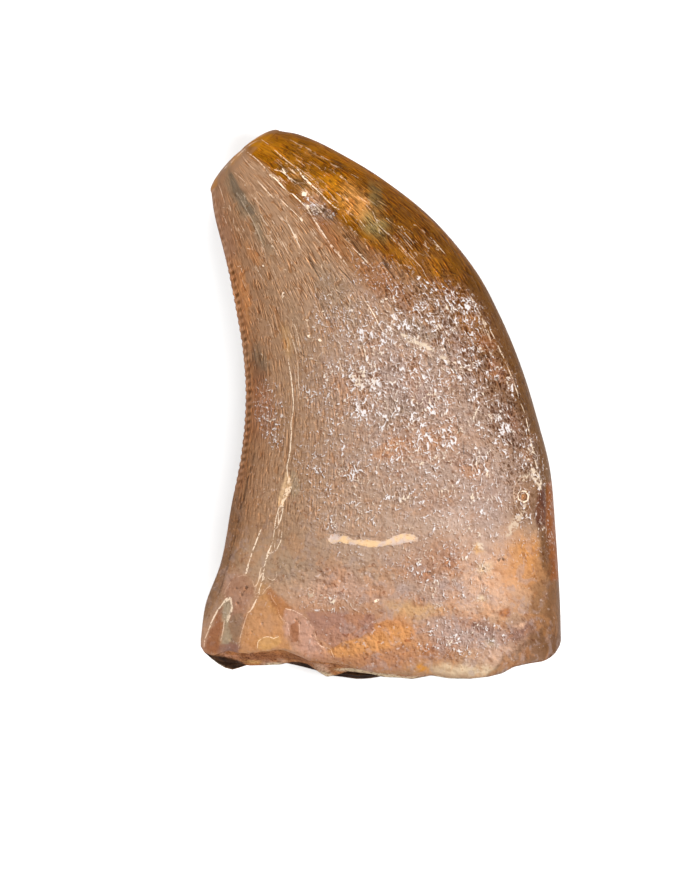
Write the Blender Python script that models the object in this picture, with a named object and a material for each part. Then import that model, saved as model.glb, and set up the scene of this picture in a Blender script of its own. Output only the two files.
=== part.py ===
"""Fossil theropod tooth: one shed crown, lying on its flank.

Frame: +X points to the mesial (convex) edge, +Y to the worn tip, +Z up from the surface it lies on.
The origin is at the middle of the underside's box. Lengths below are millimetres.

The crown is one lofted skin. Each row is a lens-shaped cross-section between the distal edge and the
mesial edge. The rows run from the end of the pulp cavity, out over the broken rim, and up to the tip.
"""

import math

import bmesh
import bpy
import numpy as np

MM = 0.001

# The two edges of the crown seen from above, from the broken base to the worn tip.
DISTAL_EDGE = (
    (-10.40, -13.60),
    (-10.10, -11.50),
    (-9.20, -9.00),
    (-8.62, -5.80),
    (-8.05, -2.70),
    (-7.82, 0.30),
    (-7.97, 3.00),
    (-8.42, 5.70),
    (-9.00, 8.55),
    (-9.60, 10.90),
    (-9.83, 12.40),
)
MESIAL_EDGE = (
    (10.46, -13.60),
    (10.38, -11.30),
    (10.12, -7.25),
    (9.86, -3.90),
    (9.26, -1.30),
    (8.24, 2.15),
    (6.96, 5.25),
    (5.45, 8.00),
    (3.00, 10.90),
    (0.05, 13.25),
    (-2.80, 14.95),
    (-4.60, 15.75),
    (-5.85, 16.00),
)

# Half thicknesses above and below the plane of the edges, against the share of the way to the tip.
SHARES = (0.0, 0.25, 0.50, 0.75, 0.90, 1.0)
HALF_THICKNESS_UP = (5.30, 5.05, 4.20, 2.95, 2.10, 1.65)
HALF_THICKNESS_DOWN = (4.50, 4.30, 3.60, 2.50, 1.75, 1.35)

# The flank that it lies on: flattened this deep over the belly, and lifting clear towards both ends.
REST_FLAT = 0.16
TIP_LIFT = 0.55
TIP_LIFT_FROM = 0.60
BASE_LIFT = 0.30
BASE_LIFT_TO = 0.12

# Cross-section: how fast the thickness grows in from each edge (0.5 is round, 1 is a straight wedge).
DISTAL_SHARPNESS = 0.72
MESIAL_SHARPNESS_BASE = 0.50
MESIAL_SHARPNESS_TIP = 0.62
DISTAL_HOLLOW = 0.09
DISTAL_HOLLOW_AT = 0.13
DISTAL_HOLLOW_WIDTH = 0.06

# Serrations of the distal edge.
DENTICLE_PITCH = 0.435
DENTICLE_HEIGHT = 0.21
SERRATED_FROM = 0.315
SERRATED_TO = 0.975
SERRATION_FADE = 0.06

# The mesial ridge, which leaves the edge near mid crown and runs down the upper flank.
RIDGE_HEIGHT = 0.18
RIDGE_FROM = 0.36
RIDGE_TO = 0.80

# Broken rim: how far it reaches past the base section, across the crown from distal to mesial.
RIM_ACROSS = (0.0, 0.05, 0.10, 0.20, 0.30, 0.40, 0.50, 0.58, 0.75, 0.84, 0.92, 0.97, 1.0)
RIM_REACH_UP = (0.35, 0.90, 1.05, 1.05, 1.40, 1.85, 2.05, 2.10, 2.15, 1.85, 1.35, 0.90, 0.35)
RIM_REACH_DOWN = (0.40, 1.35, 1.70, 1.45, 1.95, 2.35, 2.35, 2.15, 2.00, 1.70, 1.30, 0.85, 0.35)
RIM_ROWS = (0.55, 0.85, 1.0)
RIM_THICKNESS = (0.995, 0.965, 0.90)
RIM_WIDTH = (1.0, 0.995, 0.978)
RIM_INNER_REACH = 0.25

# Pulp cavity: depth from the rim, with its half width and its half thicknesses at each depth.
CAVITY_MOUTH_Y = -15.30
CAVITY_DEPTHS = (0.0, 1.6, 3.4, 5.2, 6.6, 7.6)
CAVITY_SHARES = (1.0, 0.99, 0.97, 0.94, 0.76, 0.42)
CAVITY_HALF_WIDTH = 7.2
CAVITY_UP = 3.10
CAVITY_DOWN = 2.60
CAVITY_LEAN = -0.10

# Worn tip: rows that dome past the last cross-section, as offset and share of its size.
TIP_DOME = ((0.26, 0.88), (0.42, 0.66), (0.49, 0.36))

# Mesh detail: points round a section, the one that carries the mesial ridge, and the row spacing.
COLUMNS = 32
RIDGE_COLUMN = COLUMNS // 2 - 2
BASE_ROW_SPACING = 0.95
CURVE_STEPS = 60

ENAMEL_COLOUR = (0.30, 0.14, 0.06, 1.0)
ENAMEL_ROUGHNESS = 0.38


def smooth_curve(points):
    """A dense Catmull-Rom curve through the points, and its length up to each of its own points."""
    knots = np.array(points, float)
    knots = np.vstack([2 * knots[0] - knots[1], knots, 2 * knots[-1] - knots[-2]])
    share = np.linspace(0.0, 1.0, CURVE_STEPS, endpoint=False)[:, None]
    spans = []
    for before, start, end, after in zip(knots, knots[1:], knots[2:], knots[3:]):
        spans.append(
            start
            + 0.5 * share * (end - before)
            + share**2 * (before - 2.5 * start + 2 * end - 0.5 * after)
            + share**3 * (1.5 * (start - end) + 0.5 * (after - before))
        )
    line = np.vstack([*spans, knots[-2:-1]])
    lengths = np.concatenate([[0.0], np.cumsum(np.linalg.norm(np.diff(line, axis=0), axis=1))])
    return line, lengths


def point_at(curve, share):
    """The point of a smooth curve at a share of its length."""
    line, lengths = curve
    return np.array([np.interp(share * lengths[-1], lengths, line[:, axis]) for axis in (0, 1)])


def ease(value):
    """0 below 0, 1 above 1, and a smooth step between."""
    held = min(max(value, 0.0), 1.0)
    return held * held * (3.0 - 2.0 * held)


def soft_interpolate(x, knots, values):
    """Interpolates with a smooth step in each span, so that the values meet without corners."""
    index = min(max(int(np.searchsorted(knots, x)) - 1, 0), len(knots) - 2)
    span = (x - knots[index]) / (knots[index + 1] - knots[index])
    return values[index] + (values[index + 1] - values[index]) * ease(span)


def belly_lift(share):
    """How far the lowest line of the underside is above the table, before it is flattened."""
    tip = max(share - TIP_LIFT_FROM, 0.0) / (1.0 - TIP_LIFT_FROM)
    base = max(BASE_LIFT_TO - share, 0.0) / BASE_LIFT_TO
    return TIP_LIFT * tip**2 + BASE_LIFT * base**2 - REST_FLAT


def section_profile(across, share):
    """The section's thickness at a share of the way across from the distal edge, at most 1."""
    distal = DISTAL_SHARPNESS
    mesial = MESIAL_SHARPNESS_BASE + (MESIAL_SHARPNESS_TIP - MESIAL_SHARPNESS_BASE) * share
    thickest = distal / (distal + mesial)
    lens = (across / thickest) ** distal * ((1.0 - across) / (1.0 - thickest)) ** mesial
    hollow = DISTAL_HOLLOW * math.exp(-(((across - DISTAL_HOLLOW_AT) / DISTAL_HOLLOW_WIDTH) ** 2))
    return lens * (1.0 - hollow * ease(share / 0.2) * ease((1.0 - share) / 0.2))


def denticle_push(share, length):
    """How far the distal edge stands out (crest) or in (notch) at a share of its length."""
    fade = ease((share - SERRATED_FROM) / SERRATION_FADE) * ease((SERRATED_TO - share) / SERRATION_FADE)
    wave = math.cos(2.0 * math.pi * share * length / DENTICLE_PITCH)
    return 0.5 * DENTICLE_HEIGHT * (wave - 0.4) * fade


def column_angles():
    """Angles round a section: 0 at the distal edge, pi at the mesial edge, rising over the top."""
    return [2.0 * math.pi * column / COLUMNS for column in range(COLUMNS)]


def outer_row(distal_curve, mesial_curve, share):
    """One cross-section of the crown's outside."""
    distal = point_at(distal_curve, share)
    mesial = point_at(mesial_curve, share)
    outward = (distal - mesial) / np.linalg.norm(distal - mesial)
    up = np.interp(share, SHARES, HALF_THICKNESS_UP)
    down = np.interp(share, SHARES, HALF_THICKNESS_DOWN)
    middle = down + belly_lift(share)
    push = denticle_push(share, distal_curve[1][-1])
    ridge = RIDGE_HEIGHT * ease((share - RIDGE_FROM) / 0.1) * ease((RIDGE_TO - share) / 0.1)
    row = []
    for column, angle in enumerate(column_angles()):
        across = 0.5 * (1.0 - math.cos(angle))
        flat = distal + (mesial - distal) * across
        half = up if math.sin(angle) >= 0.0 else down
        height = math.copysign(half * section_profile(across, share), math.sin(angle))
        if column == 0:
            flat = flat + outward * push
            height = 0.0
        if column == RIDGE_COLUMN:
            flat = flat - outward * ridge * 0.5
            height += ridge
        row.append((flat[0], flat[1], max(middle + height, 0.0)))
    return row


def rim_rows(base_row):
    """Rows from the broken rim back to the base section, outermost first."""
    centre = 0.5 * (DISTAL_EDGE[0][0] + MESIAL_EDGE[0][0])
    middle = HALF_THICKNESS_DOWN[0] + belly_lift(0.0)
    rows = []
    for along, thickness, width in zip(RIM_ROWS, RIM_THICKNESS, RIM_WIDTH):
        row = []
        for angle, (x, y, z) in zip(column_angles(), base_row):
            reach = rim_reach(angle) * along
            row.append((centre + (x - centre) * width, y - reach, middle + (z - middle) * thickness))
        rows.insert(0, row)
    return rows


def rim_reach(angle):
    """How far the rim reaches past the base section, on the upper or the lower wall."""
    across = 0.5 * (1.0 - math.cos(angle))
    reach = RIM_REACH_UP if math.sin(angle) >= 0.0 else RIM_REACH_DOWN
    return float(np.interp(across, RIM_ACROSS, reach))


def cavity_rows():
    """Rows of the pulp cavity, the deepest first and the mouth last."""
    middle = HALF_THICKNESS_DOWN[0] + belly_lift(0.0)
    rows = []
    for depth, share in zip(CAVITY_DEPTHS, CAVITY_SHARES):
        row = []
        for angle in column_angles():
            half = CAVITY_UP if math.sin(angle) >= 0.0 else CAVITY_DOWN
            x = -CAVITY_HALF_WIDTH * share * math.cos(angle) + CAVITY_LEAN * depth
            y = CAVITY_MOUTH_Y + depth
            if depth == 0.0:
                y = MESIAL_EDGE[0][1] - rim_reach(angle) - RIM_INNER_REACH
            row.append((x, y, middle + half * share * math.sin(angle)))
        rows.insert(0, row)
    return rows


def tip_rows(last_row):
    """Rows that dome over the worn tip, past the last cross-section."""
    last = np.array(last_row)
    centre = last.mean(axis=0)
    edge = np.array(MESIAL_EDGE[-1]) - np.array(DISTAL_EDGE[-1])
    past = np.array([-edge[1], edge[0], 0.0]) / np.linalg.norm(edge)
    return [centre + (last - centre) * share + past * offset for offset, share in TIP_DOME]


def crown_shares(distal_length):
    """Shares of the way to the tip that get a row: wide at the base, two to a denticle above it."""
    first = round(SERRATED_FROM * distal_length / (0.5 * DENTICLE_PITCH))
    last = int(distal_length / (0.5 * DENTICLE_PITCH))
    fine = [index * 0.5 * DENTICLE_PITCH / distal_length for index in range(first, last)]
    plain_count = round(fine[0] * distal_length / BASE_ROW_SPACING)
    plain = [fine[0] * index / plain_count for index in range(plain_count)]
    return [*plain, *fine, 1.0]


def tooth_rows():
    """Every row of the skin, moved so that the origin is at the bottom centre of their box."""
    distal_curve = smooth_curve(DISTAL_EDGE)
    mesial_curve = smooth_curve(MESIAL_EDGE)
    crown = [outer_row(distal_curve, mesial_curve, s) for s in crown_shares(distal_curve[1][-1])]
    rows = np.array([*cavity_rows(), *rim_rows(crown[0]), *crown, *tip_rows(crown[-1])])
    low = rows.min(axis=(0, 1))
    high = rows.max(axis=(0, 1))
    return rows - np.array([0.5 * (low[0] + high[0]), 0.5 * (low[1] + high[1]), low[2]])


def build_tooth():
    """The whole tooth as one closed mesh object."""
    mesh = bpy.data.meshes.new("tooth")
    skin = bmesh.new()
    rings = [[skin.verts.new(point * MM) for point in row] for row in tooth_rows()]
    for lower, upper in zip(rings, rings[1:]):
        for column in range(COLUMNS):
            beside = (column + 1) % COLUMNS
            skin.faces.new((lower[column], lower[beside], upper[beside], upper[column]))
    skin.faces.new(rings[0])
    skin.faces.new(rings[-1])
    bmesh.ops.recalc_face_normals(skin, faces=skin.faces)
    bmesh.ops.triangulate(skin, faces=skin.faces)
    skin.to_mesh(mesh)
    skin.free()
    mesh.shade_smooth()
    mesh.set_sharp_from_angle(angle=math.radians(50))

    tooth = bpy.data.objects.new("tooth", mesh)
    bpy.context.scene.collection.objects.link(tooth)
    mesh.materials.append(fossil_enamel())
    return tooth


def fossil_enamel():
    """Brown, mineral-stained enamel with a soft polish."""
    material = bpy.data.materials.new("fossil_enamel")
    material.use_nodes = True
    shader = material.node_tree.nodes["Principled BSDF"]
    shader.inputs["Base Color"].default_value = ENAMEL_COLOUR
    shader.inputs["Roughness"].default_value = ENAMEL_ROUGHNESS
    shader.inputs["Metallic"].default_value = 0.0
    return material


def main():
    for old in list(bpy.data.objects):
        bpy.data.objects.remove(old)
    build_tooth()


main()
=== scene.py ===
"""Dresses the fossil theropod tooth: one dense skin with relief, stains and cracks, light and camera.

The skin follows the solid: lens-shaped sections between the distal edge (serrated, concave) and the mesial
edge (smooth, convex), from the broken base to the worn tip. Lengths are millimetres until the mesh is made.
Places on the upper flank are pixels of the photograph, which one mapping turns into millimetres, so that a
mark and the relief under it share one number.
"""

import math

import bpy
import numpy as np
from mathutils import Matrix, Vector


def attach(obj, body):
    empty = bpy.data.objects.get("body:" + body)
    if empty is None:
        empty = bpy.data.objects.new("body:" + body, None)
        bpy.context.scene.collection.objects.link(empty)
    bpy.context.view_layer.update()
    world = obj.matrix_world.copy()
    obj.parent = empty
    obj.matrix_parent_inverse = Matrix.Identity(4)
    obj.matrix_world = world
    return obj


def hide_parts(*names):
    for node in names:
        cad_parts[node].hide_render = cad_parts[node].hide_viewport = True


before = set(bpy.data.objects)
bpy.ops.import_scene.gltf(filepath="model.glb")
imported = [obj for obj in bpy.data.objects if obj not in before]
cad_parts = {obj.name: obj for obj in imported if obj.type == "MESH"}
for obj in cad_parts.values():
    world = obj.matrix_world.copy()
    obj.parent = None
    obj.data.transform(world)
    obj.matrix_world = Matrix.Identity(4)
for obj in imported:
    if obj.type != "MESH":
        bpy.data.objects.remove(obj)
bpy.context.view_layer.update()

MM = 0.001
PIXEL = 0.058
PLAN_CENTRE = (380.52, 406.72)
IMAGE_SIZE = (700, 870)

# ---- Form: the solid's, but for a mesial edge up to 0.07 mm further out and a smoother, deeper cavity. The
# shift puts the origin in the middle of the solid's box. ----
BOX_SHIFT = np.array([-0.03, 0.1])
DISTAL_EDGE = (
    (-10.40, -13.60),
    (-10.10, -11.50),
    (-9.20, -9.00),
    (-8.62, -5.80),
    (-8.05, -2.70),
    (-7.82, 0.30),
    (-7.97, 3.00),
    (-8.42, 5.70),
    (-9.00, 8.55),
    (-9.60, 10.90),
    (-9.83, 12.40),
)
MESIAL_EDGE = (
    (10.50, -13.60),
    (10.44, -11.30),
    (10.19, -7.25),
    (9.90, -3.90),
    (9.28, -1.30),
    (8.24, 2.15),
    (6.96, 5.25),
    (5.45, 8.00),
    (3.00, 10.90),
    (0.05, 13.25),
    (-2.80, 14.95),
    (-4.60, 15.75),
    (-5.85, 16.00),
)
SHARES = (0.0, 0.25, 0.50, 0.75, 0.90, 1.0)
HALF_THICKNESS_UP = (5.30, 5.05, 4.20, 2.95, 2.10, 1.65)
HALF_THICKNESS_DOWN = (4.50, 4.30, 3.60, 2.50, 1.75, 1.35)
REST_FLAT = 0.16
TIP_LIFT = 0.55
TIP_LIFT_FROM = 0.60
BASE_LIFT = 0.30
BASE_LIFT_TO = 0.12
DISTAL_SHARPNESS = 0.72
MESIAL_SHARPNESS_BASE = 0.50
MESIAL_SHARPNESS_TIP = 0.62
DISTAL_HOLLOW = 0.09
DISTAL_HOLLOW_AT = 0.13
DISTAL_HOLLOW_WIDTH = 0.06

# Serrations.
DENTICLE_PITCH = 0.435
SERRATED_FROM = 0.315
SERRATED_TO = 0.975
SERRATION_FADE = 0.06
NOTCH_RETREAT = 0.05
NOTCH_DEPTH = 0.07
NOTCH_REACH = 0.52
# The depth that the shallowest slit keeps, and how much wear takes off all of them near the tip, as shares.
NOTCH_LEAST = 0.65
NOTCH_WEAR = 0.90
WORN_FROM = 0.81
WORN_TO = 0.86
# How far in from the edge the slits cut deepest into the flank, and where their stain is darkest.
SLIT_AT = 0.24
SLIT_WIDTH = 0.17
SLIT_STAIN_AT = 0.25
SLIT_STAIN_WIDTH = 0.13

# Broken rim, seen from above, in photograph pixels: where the upper wall's enamel ends, where its broken
# face ends further out, and how far the lower wall reaches. The last two share the mesial corner.
RIM_CORNER = (
    (502, 672), (513, 666), (527, 663), (542, 661), (549, 658.5), (555, 653.5), (559.5, 646.5),
    (562, 638),
)
RIM_ENAMEL = (
    (199, 641), (204, 652), (213, 655), (221, 652), (229, 649.5), (240, 652), (250, 651.5), (260, 650),
    (269, 649.5), (277, 648), (284, 648), (292, 651.5), (301, 655), (310, 659), (324, 660), (337, 661.5),
    (348, 663.5), (357, 667), (368, 669), (383, 671), (400, 672), (415, 673), (431, 671.5), (448, 675),
    (469, 675.5), (488, 673.5), (502, 670), (513, 664), (527, 661), (542, 659), (549, 657), (555, 652),
    (559.5, 645), (562, 637),
)
RIM_FOOT = (
    (199, 642), (207, 656), (215, 658.5), (222, 661), (230, 662), (240, 662.5), (249, 665), (265, 664.5),
    (281, 663.5), (287, 662), (292, 661), (300, 661), (308, 663), (314, 667), (320, 671.5), (327, 675.6),
    (337, 673.5), (348, 670), (357, 671), (371, 672.5), (383, 675.5), (400, 676.3), (412, 677.5),
    (431, 674), (448, 677), (469, 677.5), (488, 675.5), *RIM_CORNER,
)
RIM_LOWER = (
    (199, 643), (204, 652.5), (211, 659), (218, 664.3), (226, 669), (232, 670.3), (238, 668.7),
    (249, 665), (265, 664), (281, 663), (291, 665.3), (317, 672.4), (331, 677.5), (358, 681), (372, 680),
    (383, 677.5), (390, 676), (409, 677.5), (431, 674.5), (448, 677.5), (469, 678), (488, 676),
    *RIM_CORNER,
)
RIM_ROUNDING = 0.06
BREAK_BULGE = 0.05
BREAK_ROUGH_OUT = 0.16
BREAK_ROUGH_UP = 0.12
MOUTH_WIDTH = 0.93
MOUTH_HEIGHT = 0.60
MOUTH_LIP = 0.25
CAVITY_DEPTHS = (0.0, 0.8, 1.6, 3.4, 5.2, 6.6, 7.4, 7.8)
CAVITY_WIDTHS = (0.93, 0.80, 0.69, 0.67, 0.65, 0.53, 0.29, 0.12)
CAVITY_HEIGHTS = (0.60, 0.59, 0.58, 0.565, 0.54, 0.44, 0.24, 0.10)
CAVITY_LEAN = -0.10

# Mesh detail.
EDGE_STEPS = (0.045, 0.10, 0.16, 0.23, 0.31, 0.40, 0.50, 0.62)
COLUMNS_UP = 150
COLUMNS_DOWN = 52
MESIAL_ROUNDING = 0.03
ROWS_PER_DENTICLE = 6
PLAIN_ROW_SPACING = 0.092
RIM_ROWS = 16
BREAK_ROWS = 14
CAVITY_ROWS = 20
TIP_ROWS = 9
TIP_DOME = 0.68
CURVE_STEPS = 60

# The zones of the skin's grid, in the order of its rows.
CAVITY, BREAK, RIM, CROWN, TIP = range(5)


def smooth_curve(points):
    """A dense Catmull-Rom curve through the points, and its length up to each of its own points."""
    knots = np.array(points, float)
    knots = np.vstack([2 * knots[0] - knots[1], knots, 2 * knots[-1] - knots[-2]])
    share = np.linspace(0.0, 1.0, CURVE_STEPS, endpoint=False)[:, None]
    spans = []
    for before, start, end, after in zip(knots, knots[1:], knots[2:], knots[3:]):
        spans.append(
            start
            + 0.5 * share * (end - before)
            + share**2 * (before - 2.5 * start + 2 * end - 0.5 * after)
            + share**3 * (1.5 * (start - end) + 0.5 * (after - before))
        )
    line = np.vstack([*spans, knots[-2:-1]])
    return line, lengths_along(line)


def lengths_along(line):
    """How far along the line each of its points is."""
    return np.concatenate([[0.0], np.cumsum(np.linalg.norm(np.diff(line, axis=0), axis=1))])


def points_at(curve, shares):
    """The points of a smooth curve at shares of its length."""
    line, lengths = curve
    return np.stack([np.interp(shares * lengths[-1], lengths, line[:, axis]) for axis in (0, 1)], axis=-1)


def ease(value):
    """0 below 0, 1 above 1, and a smooth step between."""
    held = np.clip(value, 0.0, 1.0)
    return held * held * (3.0 - 2.0 * held)


def bell(value, middle, width):
    """1 at the middle, falling off smoothly over a width on either side."""
    return np.exp(-(((value - middle) / width) ** 2))


def between(value, low, high):
    """A smooth step from 0 at low to 1 at high."""
    return ease((value - low) / (high - low))


def smooth_table(x, knots, values):
    """Interpolates a short table without corners, by averaging the straight version over a window."""
    window = np.linspace(-0.08, 0.08, 9)
    shifted = np.clip(np.asarray(x)[..., None] + window, knots[0], knots[-1])
    return np.interp(shifted, knots, values).mean(axis=-1)


# Large odd numbers that mix a cell's place and the seed into one number.
HASH_X = 73856093
HASH_Y = 19349663
HASH_Z = 83492791
HASH_SEED = 7919317
HASH_FIRST = 1274126177
HASH_SECOND = 668265263


def lattice(cell, seed):
    """A repeatable number from 0 to 1 for each whole-number cell."""
    x, y, z = cell[..., 0], cell[..., 1], cell[..., 2]
    mixed = x * HASH_X ^ y * HASH_Y ^ z * HASH_Z ^ (seed + 11) * HASH_SEED
    mixed = (mixed ^ (mixed >> 13)) * HASH_FIRST & 0xFFFFFFFF
    mixed = (mixed ^ (mixed >> 16)) * HASH_SECOND & 0xFFFFFFFF
    return ((mixed ^ (mixed >> 15)) & 0xFFFFFF) / 0xFFFFFF


def noise(points, size, seed):
    """Smooth noise from -1 to 1 with lumps about size across."""
    scaled = points / size
    cell = np.floor(scaled).astype(np.int64)
    part = ease(scaled - cell)
    total = np.zeros(points.shape[:-1])
    for corner in np.ndindex(2, 2, 2):
        weight = np.prod(np.where(corner, part, 1.0 - part), axis=-1)
        total += weight * lattice(cell + np.array(corner), seed)
    return 2.0 * total - 1.0


def rough(points, size, seed, octaves=4):
    """Fractal noise, about -1 to 1."""
    total = np.zeros(points.shape[:-1])
    for octave in range(octaves):
        total += noise(points, size * 0.5**octave, seed + octave) * 0.55**octave
    return total / 1.6


# ---- The skin's grid ----


def across_columns(width, fractions):
    """Shares across each row: fixed steps near the distal edge, then ones that crowd at the mesial edge."""
    near = np.array(EDGE_STEPS)[None, :] / width[:, None]
    rest = near[:, -1:] + (1.0 - near[:, -1:]) * fractions[None, :]
    return np.hstack([near, rest])


def crowded(count):
    """Fractions from above 0 up to 1, crowding towards 1 so that a round edge stays round."""
    left = np.linspace(1.0, 0.0, count + 1)[1:]
    return 1.0 - (1.0 + MESIAL_ROUNDING) * left**2 / (left + MESIAL_ROUNDING)


def section_profile(across, share):
    """The section's thickness at a share of the way across from the distal edge, at most 1."""
    mesial = MESIAL_SHARPNESS_BASE + (MESIAL_SHARPNESS_TIP - MESIAL_SHARPNESS_BASE) * share
    thickest = DISTAL_SHARPNESS / (DISTAL_SHARPNESS + mesial)
    lens = (across / thickest) ** DISTAL_SHARPNESS * ((1.0 - across) / (1.0 - thickest)) ** mesial
    hollow = DISTAL_HOLLOW * bell(across, DISTAL_HOLLOW_AT, DISTAL_HOLLOW_WIDTH)
    return lens * (1.0 - hollow * ease(share / 0.2) * ease((1.0 - share) / 0.2))


def belly_lift(share):
    """How far the lowest line of the underside is above the table, before it is flattened."""
    tip = np.maximum(share - TIP_LIFT_FROM, 0.0) / (1.0 - TIP_LIFT_FROM)
    base = np.maximum(BASE_LIFT_TO - share, 0.0) / BASE_LIFT_TO
    return TIP_LIFT * tip**2 + BASE_LIFT * base**2 - REST_FLAT


def row_shares(length):
    """Shares of the way to the tip that get a row."""
    step = DENTICLE_PITCH / ROWS_PER_DENTICLE / length
    first = round(SERRATED_FROM / step)
    fine = np.arange(first, int(1.0 / step)) * step
    plain = np.linspace(0.0, fine[0], round(fine[0] * length / PLAIN_ROW_SPACING), endpoint=False)
    return np.concatenate([plain, fine, [1.0]])


class Skin:
    """The grid of points, and what is known about each one: rows run up the tooth, columns run round it."""

    def __init__(self):
        self.distal = smooth_curve(np.array(DISTAL_EDGE) + BOX_SHIFT)
        self.mesial = smooth_curve(np.array(MESIAL_EDGE) + BOX_SHIFT)
        self.length = self.distal[1][-1]
        crown = self.crown(row_shares(self.length))
        rim = self.rim(crown)
        broken, mouth = self.break_face(rim)
        cavity = self.cavity(mouth, crown)
        tip = self.tip(crown)
        zones = [cavity, broken, rim, crown, tip]
        self.point = np.vstack([zone["point"] for zone in zones])
        self.across = np.vstack([zone["across"] for zone in zones])
        self.share = np.vstack([zone["share"] for zone in zones])
        self.zone = np.concatenate([np.full(len(zone["point"]), index) for index, zone in enumerate(zones)])
        plain = [np.zeros(zone["across"].shape) for zone in zones]
        self.notch = np.vstack([*plain[:CROWN], crown["notch"], plain[TIP]])
        self.crest = np.vstack([*plain[:CROWN], crown["crest"], plain[TIP]])
        self.sides = np.broadcast_to(self.side, self.across.shape)
        widths = [np.broadcast_to(crown["width"][:1], zone["across"].shape) for zone in zones[:CROWN]]
        beyond = np.broadcast_to(crown["width"][-1:], tip["across"].shape)
        self.width = np.vstack([*widths, crown["width"], beyond])

    def mask(self, zone):
        """1 on the points of a zone and 0 elsewhere."""
        return (self.zone == zone)[:, None] * np.ones(self.across.shape)

    def crown(self, shares):
        """The crown's outside, from the base section to the last one."""
        distal = points_at(self.distal, shares)
        mesial = points_at(self.mesial, shares)
        chord = mesial - distal
        width = np.linalg.norm(chord, axis=1)
        up = across_columns(width, crowded(COLUMNS_UP))
        down = across_columns(width, crowded(COLUMNS_DOWN))[:, -2::-1]
        edge = np.zeros((len(shares), 1))
        across = np.hstack([edge, up, down])
        self.side = np.concatenate([[0.0], np.ones(up.shape[1] - 1), [0.0], -np.ones(down.shape[1])])

        share = np.broadcast_to(shares[:, None], across.shape)
        inward = across * width[:, None]
        notch = self.notches(share, inward)
        middle = smooth_table(shares, SHARES, HALF_THICKNESS_DOWN) + belly_lift(shares)
        half = np.where(
            self.side[None, :] >= 0,
            smooth_table(shares, SHARES, HALF_THICKNESS_UP)[:, None],
            smooth_table(shares, SHARES, HALF_THICKNESS_DOWN)[:, None],
        )
        thick = half * section_profile(across, share)
        thick = np.where(self.side[None, :] < 0, np.minimum(thick, middle[:, None]), thick)
        thick = np.maximum(thick - NOTCH_DEPTH * notch * bell(inward, SLIT_AT, SLIT_WIDTH), 0.35 * thick)
        pushed = inward + NOTCH_RETREAT * notch * np.clip(1.0 - inward / NOTCH_REACH, 0.0, 1.0)
        flat = distal[:, None, :] + (chord / width[:, None])[:, None, :] * pushed[..., None]
        height = middle[:, None] + self.side[None, :] * thick
        self.middle = middle
        return {
            "point": np.concatenate([flat, height[..., None]], axis=-1),
            "across": across,
            "share": share,
            "notch": notch * bell(inward, SLIT_STAIN_AT, SLIT_STAIN_WIDTH),
            "crest": self.crests(share),
            "width": np.broadcast_to(width[:, None], across.shape),
        }

    def flank(self, across, share):
        """Places on the flank, seen from above, at shares of the way across and up."""
        distal = points_at(self.distal, share)
        return distal + (points_at(self.mesial, share) - distal) * across[:, None]

    def notches(self, share, inward):
        """1 in the slit between two denticles and 0 on their crests, uneven from one to the next."""
        along = share * self.length / DENTICLE_PITCH
        which = np.floor(along)
        uneven = lattice(np.stack([which, which * 0, which * 0], axis=-1).astype(np.int64), 5)
        wave = 0.5 - 0.5 * np.cos(2.0 * math.pi * along)
        fade = ease((share - SERRATED_FROM) / SERRATION_FADE) * ease((SERRATED_TO - share) / SERRATION_FADE)
        worn = 1.0 - NOTCH_WEAR * between(share, WORN_FROM, WORN_TO)
        return between(wave, 0.35, 0.9) * fade * worn * (NOTCH_LEAST + (1.0 - NOTCH_LEAST) * uneven)

    def crests(self, share):
        """1 on the crest of each denticle and 0 in the slits."""
        wave = 0.5 - 0.5 * np.cos(2.0 * math.pi * share * self.length / DENTICLE_PITCH)
        return between(wave, 0.45, 0.05) * between(share, SERRATED_FROM, SERRATED_FROM + SERRATION_FADE)

    def rim(self, crown):
        """Rows past the base section, out to where the walls end. The outermost comes first."""
        base = crown["point"][0]
        edge = np.where(self.side > 0, rim_line(RIM_ENAMEL, base[:, 0]), rim_line(RIM_LOWER, base[:, 0]))
        along = np.linspace(1.0, 0.0, RIM_ROWS, endpoint=False)[:, None]
        point = np.repeat(base[None], RIM_ROWS, axis=0)
        point[..., 1] = base[:, 1] + (edge - base[:, 1]) * along
        round_off = RIM_ROUNDING * np.clip((along - 0.7) / 0.3, 0.0, 1.0) ** 2
        point[..., 2] = self.middle[0] + (point[..., 2] - self.middle[0]) * (1.0 - round_off)
        across = np.repeat(crown["across"][:1], RIM_ROWS, axis=0)
        share = (point[..., 1] - base[:, 1]) / self.length
        return {"point": point, "across": across, "share": share}

    def break_face(self, rim):
        """The broken faces of the walls, from the mouth of the cavity out to the rim."""
        outer = rim["point"][0]
        centre = 0.5 * (outer[:, 0].min() + outer[:, 0].max())
        mouth = outer.copy()
        mouth[:, 0] = centre + (outer[:, 0] - centre) * MOUTH_WIDTH
        mouth[:, 2] = self.middle[0] + (outer[:, 2] - self.middle[0]) * MOUTH_HEIGHT
        foot = rim_line(RIM_FOOT, mouth[:, 0])
        lower = rim_line(RIM_LOWER, mouth[:, 0]) + MOUTH_LIP
        corner = 0.5 * (foot + lower)
        mouth[:, 1] = np.where(self.side > 0, foot, np.where(self.side < 0, lower, corner))
        step = np.linspace(0.0, 1.0, BREAK_ROWS, endpoint=False)[:, None, None]
        point = mouth + (outer - mouth) * step
        bulge = 4.0 * step[..., 0] * (1.0 - step[..., 0])
        point[..., 1] += bulge * (BREAK_BULGE + BREAK_ROUGH_OUT * rough(point, 1.1, 31)) * np.abs(self.side)
        point[..., 2] += bulge * BREAK_ROUGH_UP * rough(point, 0.8, 37)
        across = np.repeat(rim["across"][:1], BREAK_ROWS, axis=0)
        return {"point": point, "across": across, "share": across * 0.0 - 0.08}, mouth

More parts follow.
